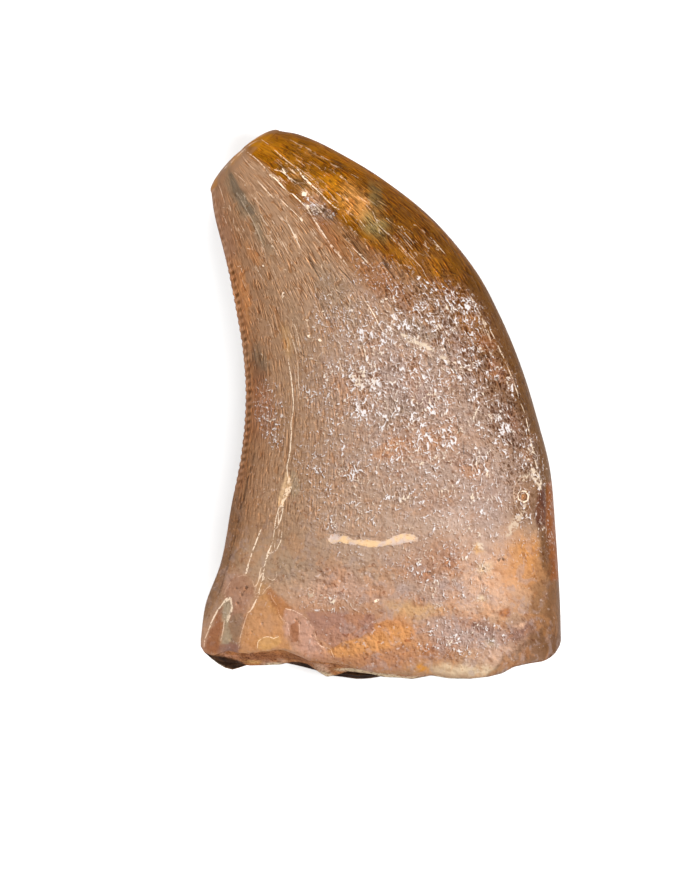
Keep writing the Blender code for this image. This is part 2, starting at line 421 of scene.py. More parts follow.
    def cavity(self, mouth, crown):
        """The pulp cavity, from its end out to the mouth."""
        base = crown["point"][0]
        centre = np.array([0.5 * (base[:, 0].min() + base[:, 0].max()), self.middle[0]])
        depths = CAVITY_DEPTHS[-1] * np.linspace(1.0, 0.0, CAVITY_ROWS, endpoint=False) ** 1.3
        rows = []
        for depth in depths:
            wide = np.interp(depth, CAVITY_DEPTHS, CAVITY_WIDTHS)
            high = np.interp(depth, CAVITY_DEPTHS, CAVITY_HEIGHTS)
            x = centre[0] + (base[:, 0] - centre[0]) * wide + CAVITY_LEAN * depth
            z = centre[1] + (base[:, 2] - centre[1]) * high
            even = between(depth, 0.0, 3.0)
            y = mouth[:, 1] * (1.0 - even) + mouth[:, 1].mean() * even + depth
            rows.append(np.stack([x, y, z], axis=-1))
        across = np.repeat(crown["across"][:1], CAVITY_ROWS, axis=0)
        return {"point": np.array(rows), "across": across, "share": across * 0.0 - 0.1}

    def tip(self, crown):
        """Rows that dome over the worn tip, past the last cross-section."""
        last = crown["point"][-1]
        centre = last.mean(axis=0)
        edge = self.mesial[0][-1] - self.distal[0][-1]
        past = np.array([-edge[1], edge[0], 0.0]) / np.linalg.norm(edge)
        turn = np.linspace(0.0, 0.5 * math.pi, TIP_ROWS + 2)[1:-1]
        rows = [centre + (last - centre) * math.cos(a) + past * TIP_DOME * math.sin(a) for a in turn]
        across = np.repeat(crown["across"][-1:], TIP_ROWS, axis=0)
        return {"point": np.array(rows), "across": across, "share": across * 0.0 + 1.0}


def rim_line(points, x):
    """The y in millimetres of a rim line that is given in pixels, at places x in millimetres."""
    line = to_plan(np.array(points, float))
    return np.interp(x, line[:, 0], line[:, 1])


def to_plan(pixels):
    """Photograph pixels to millimetres on the upper flank, seen from above."""
    return (pixels - np.array(PLAN_CENTRE)) * np.array([PIXEL, -PIXEL])


def to_pixels(points):
    """Millimetres to photograph pixels."""
    return points[..., :2] / np.array([PIXEL, -PIXEL]) + np.array(PLAN_CENTRE)


def grid_normals(point):
    """Unit normals of the grid, pointing out."""
    along = np.gradient(point, axis=0)
    across = np.roll(point, -1, axis=1) - np.roll(point, 1, axis=1)
    normal = np.cross(across, along)
    return normal / np.maximum(np.linalg.norm(normal, axis=-1, keepdims=True), 1e-9)


def add_object(name, data):
    """Puts a new object with the data into the scene."""
    made = bpy.data.objects.new(name, data)
    bpy.context.scene.collection.objects.link(made)
    return made


def make_mesh(name, point, attributes):
    """A closed mesh from the grid, with a point at each end of the tooth's skin."""
    rows, columns = point.shape[:2]
    ends = np.stack([point[0].mean(axis=0), point[-1].mean(axis=0)])
    vertices = np.vstack([point.reshape(-1, 3), ends]) * MM
    start = np.arange(rows - 1)[:, None] * columns + np.arange(columns)[None, :]
    beside = np.arange(rows - 1)[:, None] * columns + (np.arange(columns)[None, :] + 1) % columns
    quads = np.stack([start, beside, beside + columns, start + columns], axis=-1).reshape(-1, 4)
    ring = np.arange(columns)
    after = (ring + 1) % columns
    top = (rows - 1) * columns
    first_cap = np.stack([np.full(columns, rows * columns), after, ring], axis=-1)
    last_cap = np.stack([np.full(columns, rows * columns + 1), top + ring, top + after], axis=-1)
    faces = [*quads.tolist(), *first_cap.tolist(), *last_cap.tolist()]
    mesh = bpy.data.meshes.new(name)
    mesh.from_pydata(vertices.tolist(), [], faces)
    mesh.shade_smooth()
    for label, values in attributes.items():
        add_attribute(mesh, label, values)
    return add_object(name, mesh)


def add_attribute(mesh, label, values):
    """Stores one number, vector or colour for each point of the grid and for the two end points."""
    flat = values.reshape(-1, values.shape[-1]) if values.ndim == 3 else values.reshape(-1, 1)
    flat = np.vstack([flat, flat[:1], flat[-1:]]).astype(np.float32)
    kinds = {1: ("FLOAT", "value"), 3: ("FLOAT_VECTOR", "vector"), 4: ("FLOAT_COLOR", "color")}
    kind, field = kinds[flat.shape[1]]
    mesh.attributes.new(label, kind, "POINT").data.foreach_set(field, flat.ravel())


# ---- Tones: as they look in the light of this scene. ----
MATT_GAIN = 2.62
GLOSS_VEIL = 0.004
PALETTE = {
    "tan": (175, 138, 108),
    "clay": (160, 118, 87),
    "sienna": (152, 104, 62),
    "umber": (116, 79, 50),
    "dun": (148, 110, 80),
    "amber": (152, 95, 16),
    "honey": (208, 136, 30),
    "bark": (98, 60, 28),
    "bloom": (185, 155, 133),
    "lilac": (178, 156, 150),
    "ash": (136, 117, 95),
    "moss": (146, 130, 86),
    "peach": (222, 178, 148),
    "rust": (204, 140, 88),
    "brick": (164, 106, 72),
    "rose": (204, 156, 133),
    "plum": (140, 102, 94),
    "cream": (238, 214, 178),
    "blush": (228, 203, 190),
    "ivory": (245, 222, 196),
    "stone": (178, 158, 132),
    "rosewood": (172, 124, 98),
    "apricot": (214, 152, 96),
    "copper": (184, 122, 76),
    "straw": (224, 172, 108),
    "mauve": (172, 127, 110),
    "slate": (122, 105, 87),
    "shadow": (46, 29, 19),
    "liver": (100, 60, 46),
    "tobacco": (104, 66, 22),
    "sand": (248, 208, 160),
    "ginger": (144, 78, 20),
    "maize": (226, 158, 84),
    # Brighter than the screen's white, for strokes thinner than a pixel.
    "gleam": (292, 266, 236),
    "frost": (246, 237, 234),
}

# Areas on one side of a line: colour, +1 above the line or -1 below it, strength, softness, line.
AMBER_LINE = (
    (232, 142), (247, 152), (265, 168), (290, 193), (303, 202), (318, 207), (335, 216), (352, 232),
    (372, 248), (392, 263), (415, 278), (440, 292), (462, 306), (480, 322), (492, 342), (504, 370),
)
BAND_LINE = (
    (286, 196), (303, 214), (321, 238), (340, 264), (360, 284), (380, 300), (400, 312), (425, 322),
    (450, 332), (472, 346), (496, 392),
)
CORNER_LINE = ((480, 690), (486, 674), (507, 650), (524, 640), (539, 632), (559, 617))
AREAS = (
    ("sienna", 1, 0.80, 12.0, BAND_LINE),
    ("amber", 1, 1.00, 6.0, AMBER_LINE),
)
CORNERS = (("umber", -1, 0.60, 3.0, CORNER_LINE),)

# Painted shade inside the two edges, where the rounded flanks turn away from the light: colour, strength,
# reach in pixels, and the rows where it fades in.
MESIAL_PAINTED_SHADE = ("tobacco", 0.90, 24.0, 130.0, 300.0)
DISTAL_PAINTED_SHADE = ("umber", 0.55, 17.0, 350.0, 430.0)

# Soft patches, painted in order: colour, x, y, radius along and across, turn (degrees), strength, softness.
BROAD_STAINS = (
    ("clay", 228, 320, 170, 34, 86, 0.90, 0.6),
    ("clay", 232, 480, 100, 30, 98, 0.70, 0.6),
    ("bloom", 415, 395, 125, 84, 62, 0.90, 0.6),
    ("bloom", 425, 485, 100, 80, 0, 0.60, 0.7),
    ("dun", 486, 372, 84, 28, 64, 0.65, 0.6),
    ("umber", 514, 430, 64, 18, 76, 0.60, 0.7),
    ("rust", 300, 645, 120, 30, 0, 0.55, 0.5),
    ("rust", 280, 600, 40, 26, 20, 0.50, 0.6),
    ("rust", 395, 640, 70, 24, 0, 0.50, 0.6),
    ("peach", 486, 572, 46, 34, 30, 0.60, 0.7),
    ("lilac", 425, 606, 44, 30, 10, 0.45, 0.6),
    ("rose", 325, 600, 60, 22, 8, 0.35, 0.7),
    ("plum", 530, 640, 46, 26, -20, 0.35, 0.6),
    ("lilac", 430, 430, 100, 76, 70, 0.30, 0.7),
    ("blush", 425, 540, 86, 30, 0, 0.22, 0.7),
)
UPPER_STAINS = (
    ("bark", 396, 218, 52, 16, 44, 0.42, 0.8),
    ("umber", 420, 262, 40, 12, 44, 0.40, 0.8),
    ("umber", 466, 296, 40, 10, 50, 0.60, 0.8),
    ("umber", 492, 342, 30, 9, 60, 0.50, 0.8),
    ("ash", 430, 302, 44, 12, 36, 0.35, 0.8),
    ("umber", 486, 388, 54, 17, 66, 0.30, 0.8),
    ("ash", 470, 348, 40, 12, 56, 0.35, 0.8),
    ("umber", 482, 364, 36, 15, 58, 0.40, 0.8),
    ("blush", 448, 516, 18, 12, 0, 0.45, 0.7),
    ("blush", 340, 580, 54, 20, 0, 0.20, 0.8),
    ("peach", 300, 592, 36, 12, 0, 0.35, 0.8),
    ("peach", 288, 562, 34, 18, 0, 0.38, 0.8),
    ("peach", 262, 634, 62, 24, 0, 0.30, 0.8),
    ("honey", 262, 144, 14, 7, 20, 0.35, 0.7),
    ("straw", 306, 186, 24, 6, 46, 0.42, 0.7),
    ("rose", 318, 200, 12, 6, 46, 0.40, 0.7),
    ("bark", 300, 133, 50, 6, 16, 0.50, 0.8),
    ("honey", 288, 160, 26, 8, 42, 0.30, 0.7),
    ("bark", 338, 165, 6, 5, 0, 0.60, 0.6),
    ("bark", 372, 182, 12, 6, 40, 0.35, 0.7),
    ("ash", 238, 192, 34, 6.5, 60, 0.60, 0.7),
    ("rosewood", 222, 240, 60, 11, 80, 0.45, 0.7),
    ("ash", 260, 226, 28, 6.0, 62, 0.65, 0.6),
    ("honey", 338, 193, 28, 10, 38, 0.75, 0.6),
    ("maize", 358, 203, 22, 12, 38, 0.95, 0.5),
    ("moss", 374, 224, 15, 10, 44, 0.75, 0.7),
    ("moss", 376, 196, 14, 6, 70, 0.50, 0.6),
    ("honey", 326, 186, 14, 4, 42, 0.40, 0.7),
    ("honey", 404, 254, 12, 6, 40, 0.30, 0.6),
    ("honey", 438, 264, 10, 5, 50, 0.45, 0.6),
    ("bark", 430, 238, 60, 9, 48, 0.35, 0.8),
    ("slate", 322, 212, 14, 7, 24, 0.70, 0.6),
    ("umber", 324, 214, 12, 4.5, 26, 0.50, 0.6),
    ("umber", 300, 187, 12, 9, 40, 0.45, 0.5),
    ("brick", 330, 238, 24, 7, 48, 0.35, 0.7),
    ("brick", 392, 290, 30, 10, 36, 0.30, 0.6),
    ("umber", 470, 322, 26, 8, 44, 0.40, 0.8),
    ("amber", 470, 330, 22, 9, 56, 0.45, 0.6),
    ("rust", 243, 296, 30, 5, 84, 0.70, 0.5),
    ("rust", 252, 254, 12, 4, 60, 0.50, 0.5),
    ("slate", 258, 369, 18, 10, 78, 0.85, 0.6),
    ("umber", 256, 374, 12, 6, 78, 0.50, 0.7),
    ("straw", 286, 346, 16, 5, 82, 0.40, 0.6),
    ("ash", 336, 296, 40, 14, 60, 0.35, 0.6),
    ("ash", 300, 340, 40, 12, 80, 0.20, 0.6),
    ("brick", 258, 402, 34, 12, 84, 0.55, 0.6),
    ("rust", 345, 388, 14, 10, 0, 0.25, 0.7),
    ("rust", 393, 450, 15, 9, -10, 0.55, 0.7),
    ("brick", 458, 462, 14, 10, 40, 0.35, 0.7),
    ("brick", 430, 505, 24, 9, -14, 0.35, 0.7),
    ("brick", 419, 401, 13, 10, 20, 0.50, 0.7),
    ("clay", 452, 385, 12, 20, -30, 0.45, 0.7),
    ("brick", 482, 342, 10, 6, 60, 0.60, 0.7),
    ("brick", 493, 372, 12, 6, 62, 0.60, 0.7),
    ("brick", 512, 420, 14, 6, 72, 0.40, 0.7),
    ("lilac", 405, 388, 38, 22, 40, 0.40, 0.6),
    ("lilac", 488, 500, 30, 26, 80, 0.40, 0.6),
    ("ash", 418, 330, 26, 10, 20, 0.45, 0.6),
    ("brick", 462, 352, 26, 7, 50, 0.30, 0.7),
    ("rust", 420, 440, 24, 16, 20, 0.30, 0.7),
    ("rust", 452, 430, 16, 10, 70, 0.30, 0.7),
    ("ash", 404, 414, 16, 18, 10, 0.40, 0.7),
    ("rust", 468, 470, 12, 8, 0, 0.35, 0.7),
    ("ash", 330, 558, 50, 22, 10, 0.15, 0.6),
    ("plum", 320, 566, 26, 10, 30, 0.25, 0.6),
    ("ash", 372, 580, 30, 12, -20, 0.15, 0.6),
    ("brick", 440, 560, 20, 14, 10, 0.45, 0.6),
    ("peach", 488, 572, 24, 18, 20, 0.50, 0.6),
    ("clay", 520, 500, 24, 10, 84, 0.60, 0.5),
    ("honey", 527, 556, 15, 12, 0, 0.65, 0.5),
    ("copper", 531, 564, 20, 11, 80, 0.60, 0.7),
    ("clay", 540, 600, 36, 12, 86, 0.40, 0.5),
    ("plum", 345, 624, 42, 12, 6, 0.45, 0.5),
    ("rust", 392, 628, 22, 11, -22, 0.85, 0.5),
    ("honey", 272, 598, 18, 8, 52, 0.45, 0.4),
    ("rust", 262, 642, 22, 8, -20, 0.45, 0.5),
    ("rose", 300, 640, 18, 14, 50, 0.60, 0.3),
    ("rose", 318, 652, 22, 8, 24, 0.55, 0.4),
    ("brick", 214, 636, 22, 6, 99, 0.90, 0.3),
    ("ash", 233, 622, 24, 6, 100, 0.55, 0.4),
    ("plum", 232, 646, 9, 7, 0, 0.60, 0.5),
    ("rose", 238, 594, 22, 14, 60, 0.50, 0.4),
    ("lilac", 468, 634, 34, 16, 10, 0.70, 0.5),
    ("bloom", 490, 660, 30, 10, -14, 0.60, 0.5),
    ("brick", 430, 545, 34, 10, 10, 0.40, 0.6),
    ("rose", 345, 585, 50, 14, 4, 0.35, 0.6),
    ("plum", 440, 648, 16, 10, 30, 0.35, 0.5),
    ("cream", 470, 668, 34, 6, 0, 0.55, 0.5),
    ("peach", 450, 600, 30, 12, 20, 0.40, 0.6),
    ("bark", 550, 640, 14, 20, -20, 0.40, 0.5),
    ("honey", 423, 669, 8, 4, 0, 0.85, 0.4),
    ("bloom", 385, 522, 70, 34, 0, 0.50, 0.7),
    ("stone", 276, 572, 34, 30, 0, 0.35, 0.7),
    ("umber", 524, 508, 18, 12, 80, 0.45, 0.7),
    ("brick", 316, 660, 16, 6, 0, 0.45, 0.6),
    ("straw", 415, 606, 26, 9, 6, 0.55, 0.7),
    ("peach", 486, 590, 26, 22, 0, 0.60, 0.7),
    ("cream", 481, 566, 8, 5, 0, 0.60, 0.6),
    ("cream", 482, 598, 5, 3.5, 0, 0.70, 0.5),
    ("straw", 478, 546, 6, 4, 30, 0.80, 0.5),
    ("brick", 448, 561, 8, 6, 0, 0.55, 0.4),
    ("brick", 426, 572, 9, 4, 20, 0.55, 0.5),
    ("brick", 420, 598, 7, 5, 0, 0.50, 0.5),
    ("lilac", 450, 584, 12, 7, 0, 0.60, 0.6),
    ("lilac", 436, 598, 10, 5, 0, 0.50, 0.6),
    ("stone", 490, 640, 7, 5, -40, 0.80, 0.5),
    ("plum", 478, 622, 22, 6, 8, 0.50, 0.6),
    ("plum", 512, 632, 20, 7, -8, 0.55, 0.6),
    ("plum", 533, 625, 16, 8, -14, 0.50, 0.7),
    ("brick", 424, 648, 8, 8, 0, 0.60, 0.5),
    ("rosewood", 412, 566, 26, 10, 10, 0.45, 0.7),
    ("apricot", 520, 562, 26, 24, 0, 0.70, 0.7),
    ("dun", 545, 606, 50, 12, 88, 0.70, 0.6),
    ("sienna", 540, 606, 26, 12, 84, 0.40, 0.7),
    ("rosewood", 392, 656, 30, 8, 0, 0.60, 0.6),
    ("rose", 308, 654, 14, 5, 10, 0.50, 0.6),
    ("peach", 495, 652, 24, 9, -10, 0.50, 0.7),
    ("peach", 208, 636, 8, 30, 8, 0.40, 0.7),
    ("ash", 300, 572, 34, 14, 4, 0.22, 0.7),
)
# Flakes and patches with crisp edges: colour, strength, outline.
PLATES = (
    ("liver", 0.90, ((537, 488), (541, 484), (545, 492), (546, 505), (545, 520), (544, 531), (537, 531),
        (534, 520), (534, 507), (536, 497))),
    ("umber", 0.65, ((549, 556), (562, 552), (562, 650), (552, 652), (547, 630), (545, 600), (547, 576))),
    ("ginger", 0.90, ((546, 484), (553, 480), (559, 500), (561, 540), (562, 580), (549, 580), (546, 550),
        (544, 530), (546, 508))),
    ("umber", 0.80, ((538, 522), (546, 528), (550, 545), (551, 572), (546, 578), (541, 566), (539, 546))),
    ("brick", 0.95, ((496, 611), (500, 607), (506, 606.5), (510, 610), (507, 614.5), (500, 616))),
    ("rust", 0.90, ((519, 494), (523, 493), (524, 498), (521, 500))),
    ("slate", 0.85, ((225, 166), (231, 173), (239, 185), (247, 198), (255, 212), (251, 215), (243, 207),
        (236, 197), (230, 183))),
    ("brick", 0.80, ((206, 648), (209, 632), (214, 618), (219, 608), (223, 606), (223, 622), (220, 640),
        (218, 652))),
    ("stone", 0.90, ((223, 600), (231, 597), (233, 606), (229, 618), (231, 634), (229, 643), (221, 643),
        (223, 626))),
    ("plum", 0.60, ((219, 643), (231, 641), (239, 643), (240, 653), (218, 655))),
    ("rosewood", 0.60, ((233, 601), (248, 605), (247, 612), (241, 634), (239, 643), (231, 642),
        (230, 625))),
    ("ash", 0.45, ((233, 614), (245, 613), (241, 634), (239, 643), (231, 642), (230, 628))),
    ("rosewood", 0.50, ((225, 592), (231, 580), (240, 574), (250, 576), (255, 586), (254, 597),
        (248, 605), (233, 602))),
    ("apricot", 0.50, ((247, 613), (256, 602), (266, 590), (278, 612), (284, 622), (284, 636),
        (290, 647), (266, 651), (239, 652), (242, 634))),
    ("copper", 0.85, ((266, 588), (271, 586), (283, 597), (293, 607), (288, 613), (285, 619), (278, 612),
        (270, 598))),
    ("rose", 0.80, ((285, 607), (294, 609), (303, 613), (304, 618), (296, 618), (290, 634), (285, 634),
        (284, 616))),
    ("brick", 0.85, ((291, 624), (297, 618), (300, 624), (298, 641), (291, 641))),
    ("rose", 0.90, ((299, 619), (306, 617), (313, 626), (317, 639), (322, 647), (311, 651), (300, 647))),
    ("straw", 0.65, ((259, 639), (268, 635), (281, 636), (280, 642), (270, 650), (258, 648))),
    ("mauve", 0.75, ((306, 611), (330, 610), (352, 614), (374, 614), (376, 628), (352, 638), (332, 646),
        (318, 638))),
    ("peach", 0.85, ((512, 625), (519, 622), (525, 621), (523, 628), (517, 627))),
    ("stone", 0.55, ((290, 469), (297, 473), (300, 482), (299, 491), (294, 497), (290, 493), (292, 482))),
    ("sand", 0.60, ((286, 471), (290, 476), (292, 484), (290, 492), (286, 498), (284, 505), (279, 505),
        (279, 497), (281, 489), (284, 481))),
    ("apricot", 0.75, ((326, 650), (345, 641), (372, 634), (392, 624), (412, 626), (402, 641),
        (372, 650), (340, 655))),
    ("rosewood", 0.65, ((322, 652), (345, 656), (372, 655), (402, 654), (402, 669), (370, 668),
        (340, 661))),
)
# On the broken face of the upper wall: stains, and a painted shadow in the dark gap at its left end.
BREAK_STAINS_AND_SHADE = (
    ("bark", 220, 659, 14, 4, 20, 0.90, 0.5),
    # Painted shadow in the gap under the broken edge.
    ("shadow", 230, 660, 14, 2.6, 14, 0.90, 0.4),
    ("copper", 246, 656, 10, 3, 0, 0.60, 0.6),
    ("brick", 264, 656, 24, 4, 0, 0.80, 0.6),
    ("straw", 254, 661, 8, 1.8, 0, 0.70, 0.5),
    ("cream", 274, 663, 9, 1.5, 0, 0.90, 0.5),
    ("peach", 283, 660, 6, 2, 20, 0.60, 0.5),
    ("brick", 300, 657, 14, 4, 30, 0.60, 0.5),
    ("peach", 322, 668, 9, 4, 30, 0.90, 0.4),
    ("cream", 326, 673, 8, 2.5, 20, 0.90, 0.4),
    ("cream", 352, 669, 16, 2.0, 4, 0.90, 0.4),
    ("cream", 385, 674, 22, 2.2, 6, 0.90, 0.4),
    ("cream", 440, 676, 50, 2.2, 0, 0.80, 0.5),
    ("bark", 525, 662, 30, 3, -12, 0.60, 0.6),
)
FAR_RIM = (1.4, 1.0, ((207, 656), (213, 661), (220, 666), (229, 670.5), (236, 670.5)))
UNDER_STAINS = (
    ("ash", 330, 430, 70, 26, 70, 0.50, 0.6),
    ("brick", 280, 500, 60, 22, 84, 0.55, 0.6),
    ("honey", 360, 300, 46, 14, 60, 0.45, 0.5),
    ("lilac", 440, 520, 40, 26, 20, 0.45, 0.6),
    ("plum", 470, 600, 44, 18, 10, 0.50, 0.5),
    ("rose", 300, 600, 50, 20, 10, 0.55, 0.5),
    ("cream", 250, 636, 26, 9, 30, 0.50, 0.5),
    ("rust", 380, 640, 60, 16, 4, 0.60, 0.5),
    ("umber", 250, 300, 50, 12, 80, 0.55, 0.5),
    ("moss", 420, 380, 30, 12, 50, 0.40, 0.6),
)

# ---- Cracks and flecks: width in pixels, tone (0 like the ground, 1 near white), places along it. ----
UPPER_CRACKS = (
    (1.3, 0.60, ((247, 151), (257, 159), (265.6, 168), (269, 174))),
    (2.0, 0.95, ((269, 174), (276, 179), (282, 185.6), (287, 191))),
    (1.9, 1.00, ((290, 193), (293, 194), (298, 199), (303, 204))),
    (1.4, 0.80, ((303, 204), (309, 211), (314, 220), (321, 230), (328, 241), (334, 248))),
    (1.3, 0.60, ((334, 248), (343, 260), (348, 267))),
    (1.4, 0.60, ((272, 147), (280, 154), (288.5, 161), (294, 165.5))),
    (2.8, 1.00, ((300, 172), (303, 176), (309, 182), (314, 187))),
    (2.2, 0.90, ((282, 168), (286, 173), (290, 179))),
    (2.0, 1.00, ((297, 168), (300, 171), (303, 176), (309, 182), (317, 189.4))),
    (1.7, 0.90, ((317, 189.4), (324, 197), (329, 202), (334.5, 207), (340, 209.5))),
    (1.0, 0.45, ((261, 138), (269, 143.5))),
    (1.0, 0.45, ((289.5, 138), (298, 142.5), (308, 147), (316, 151))),
    (1.4, 0.70, ((257, 180), (263, 186.5), (268, 192), (273, 197.5))),
    (1.3, 0.65, ((277, 194), (282, 201), (288.5, 207), (294, 212), (301, 219))),
    (1.5, 0.80, ((286, 220), (290.5, 228), (294, 235), (298, 243), (301, 249))),
    (0.9, 0.40, ((251, 194), (257, 201), (264, 208.5))),
    (1.1, 0.50, ((254, 208.5), (261, 216), (266, 224), (272, 230))),
    (1.3, 0.30, ((236, 191), (242, 202), (247, 211), (253, 222), (257, 230), (263, 246), (266, 262))),
    (1.0, 0.40, ((217, 181), (220, 189), (224, 202))),
    (0.9, 0.35, ((242, 155), (247, 162), (255, 170))),
    (0.9, 0.35, ((234, 172), (241, 178), (247, 184))),
    (1.2, 0.55, ((303, 186), (313, 199), (324, 208))),
    (1.6, 0.80, ((274, 169), (282, 171), (289.5, 177), (295, 181))),
    (1.4, 0.75, ((352, 247), (359, 254), (366, 261), (373, 268))),
    (1.0, 0.60, ((366, 204), (373, 211), (378, 224), (390, 236), (402, 247), (412, 258), (422, 268),
        (428, 281))),
    (1.5, 0.85, ((362, 297), (369, 307), (374.5, 316), (379, 326), (383, 332))),
    (1.2, 0.70, ((362, 342), (366, 358), (372, 370))),
    (1.2, 0.60, ((339, 360), (342, 372))),
    (1.2, 0.55, ((398, 225), (407, 235), (414, 243))),
    (1.2, 0.60, ((330, 246), (340, 257), (347, 268))),
    (1.0, 0.40, ((384, 168), (397, 178), (409, 190))),
    # The long crack down the flank, which widens above the base.
    (1.0, 0.35, ((284, 331), (287, 342), (289, 360))),
    (1.7, 0.85, ((288, 360), (291, 376), (292.5, 389), (293.5, 403), (293, 412))),
    (1.6, 0.85, ((293, 412), (291, 424), (291.5, 433), (290, 450), (286.6, 467), (288, 480))),
    (1.2, 0.60, ((292, 319), (296.6, 331), (299, 342), (301, 352))),
    (1.1, 0.60, ((298, 360), (298, 373), (299, 387), (300, 400))),
    (9.0, 0.62, ((289, 479), (289, 486), (286, 493), (284, 498))),
    (5.0, 0.70, ((286, 490), (283.5, 498), (281, 506))),
    (1.5, 0.80, ((280, 503), (276, 517), (274.5, 529), (273, 540))),
    (1.5, 0.85, ((283.5, 506), (280.5, 519), (276.8, 528))),
    (1.4, 0.75, ((282, 531), (280.5, 541), (276, 550), (270, 553))),
    (2.4, 0.85, ((272, 543), (268, 552), (264.6, 564.5))),
    (1.8, 0.75, ((264.6, 564.5), (262.3, 580), (258, 593))),
    (1.4, 0.60, ((261, 566), (258.5, 580), (254, 594))),
    (2.6, 0.70, ((256.7, 598), (253, 606), (250, 610.5))),
    (1.2, 0.40, ((247.7, 611.6), (244, 624), (241, 634), (238.8, 648))),
    (2.0, 0.80, ((261, 529), (256.5, 540), (252, 552), (249, 562))),
    (3.0, 0.75, ((248.5, 563), (246, 573))),
    (0.9, 0.30, ((224, 594), (226, 588), (231, 581))),
    (0.9, 0.30, ((236, 577), (242, 574.5), (248, 575.5))),
    (0.9, 0.30, ((252, 579), (255, 588))),
    (1.0, 0.45, ((262, 594), (266, 588), (270, 585))),
    (0.9, 0.30, ((270, 589), (272, 597), (277, 604))),
    (0.9, 0.30, ((278, 607), (280, 614), (285, 622))),
    # The forked pale line at the base corner.
    (4.6, 0.70, ((223.5, 602), (227, 598.5), (231, 597.5))),
    (3.4, 0.60, ((231, 598), (232, 608), (227, 622))),
    (2.4, 0.75, ((223, 603), (218, 609), (212, 620), (208.5, 629.5))),
    (1.6, 0.50, ((208.5, 629.5), (205, 638.5), (204, 647))),
    (1.2, 0.50, ((225, 616), (223.5, 628), (221, 640))),
    (1.4, 0.60, ((285, 607), (289, 608), (295, 609.5))),
    (1.2, 0.55, ((297, 611), (303, 613.5))),
    (0.9, 0.45, ((304, 615), (308, 618), (312, 625))),
    (0.9, 0.40, ((314, 628), (317, 638))),
    (1.2, 0.55, ((317, 640), (322, 645), (329, 646))),
    (1.0, 0.45, ((331, 648), (334, 656))),
    (0.9, 0.45, ((299, 619), (300, 632))),
    (0.9, 0.40, ((284, 618), (288, 622), (290, 634))),
    (1.2, 0.60, ((257.5, 647), (258.5, 640), (262, 637))),
    (1.3, 0.65, ((264, 636), (268, 635), (274, 637), (280, 634.5))),
    (1.1, 0.60, ((268, 577), (271, 579.5), (275, 578.5), (277, 575), (276, 571))),
    (1.0, 0.60, ((306, 587), (311, 586.5), (314, 590), (313, 595), (309, 596.5))),
    # Round marks: by the lower crust, and near the tip.
    (2.0, 0.90, ((517, 493), (520, 490.5), (525, 491), (528, 495), (527, 500), (523, 502), (518, 499),
        (517, 494))),
    (1.0, 0.45, ((519, 478), (514, 485), (512.5, 493), (514, 502), (518, 510), (522, 516))),
    (0.8, 0.35, ((292, 186), (299, 182), (307, 183), (313, 189), (313, 197), (308, 204))),
    (1.8, 0.40, ((222, 168), (233, 158))),
    (1.6, 0.40, ((236, 155), (247, 145), (256, 139))),
    # The mesial ridge.
    (1.3, 0.65, ((470, 297), (476, 308))),
    (1.4, 0.75, ((478, 312), (486, 325))),
    (1.3, 0.65, ((489, 330), (494, 339))),
    (1.5, 0.80, ((497, 346), (503, 359))),
    (1.4, 0.70, ((506, 366), (511, 379))),
    (1.4, 0.75, ((512.5, 383), (517, 397))),
    (1.2, 0.60, ((519, 403), (523, 413))),
    (1.5, 0.80, ((524.5, 419), (528, 433))),
    (1.7, 0.80, ((529, 438), (532, 452))),
    (1.6, 0.75, ((533, 457.5), (536, 469))),
    (1.3, 0.60, ((536.5, 473), (537, 480))),
    # Flecks and grains.
    (9.0, 1.00, ((303.5, 193), (305, 194.5))),
    (4.6, 0.90, ((283, 293), (283, 296))),
    (4.0, 0.95, ((306, 320), (307, 320.5))),
    (4.6, 0.95, ((308, 336), (311, 337))),
    (4.0, 0.90, ((319, 340), (321, 341))),
    (4.6, 0.80, ((374, 600), (378, 598))),
    (3.2, 0.85, ((262, 265), (263, 266))),
    (3.0, 0.90, ((301, 218), (302, 221))),
    (3.2, 0.90, ((307, 205), (309, 207))),
)
SCAR = (
    (11.5, 0.70, ((331, 539), (334, 538), (338, 537.5))),
    (9.0, 0.70, ((338, 537.5), (346, 539), (352, 541))),
    (8.0, 0.80, ((352, 541), (362, 541.5), (375, 543), (388, 542))),
    (11.5, 0.90, ((388, 541), (397, 539), (404, 537), (411, 537), (415, 538))),
)
CRUSTS = (
    (6.5, 1.00, ((402, 335), (410, 340), (418, 343))),
    (8.0, 0.90, ((421, 345), (432, 351))),
    (5.5, 0.80, ((441, 357), (448, 362))),
    (6.0, 0.75, ((519, 479), (527, 476))),
    (6.0, 0.55, ((524, 504), (521, 514))),
    (10.0, 0.60, ((518, 516), (512, 525), (507, 534))),
    (7.0, 0.80, ((477, 543), (481, 547))),
    (7.0, 0.90, ((532, 470), (537, 480), (539, 488))),
    (9.0, 0.45, ((310, 592), (313, 594))),
)
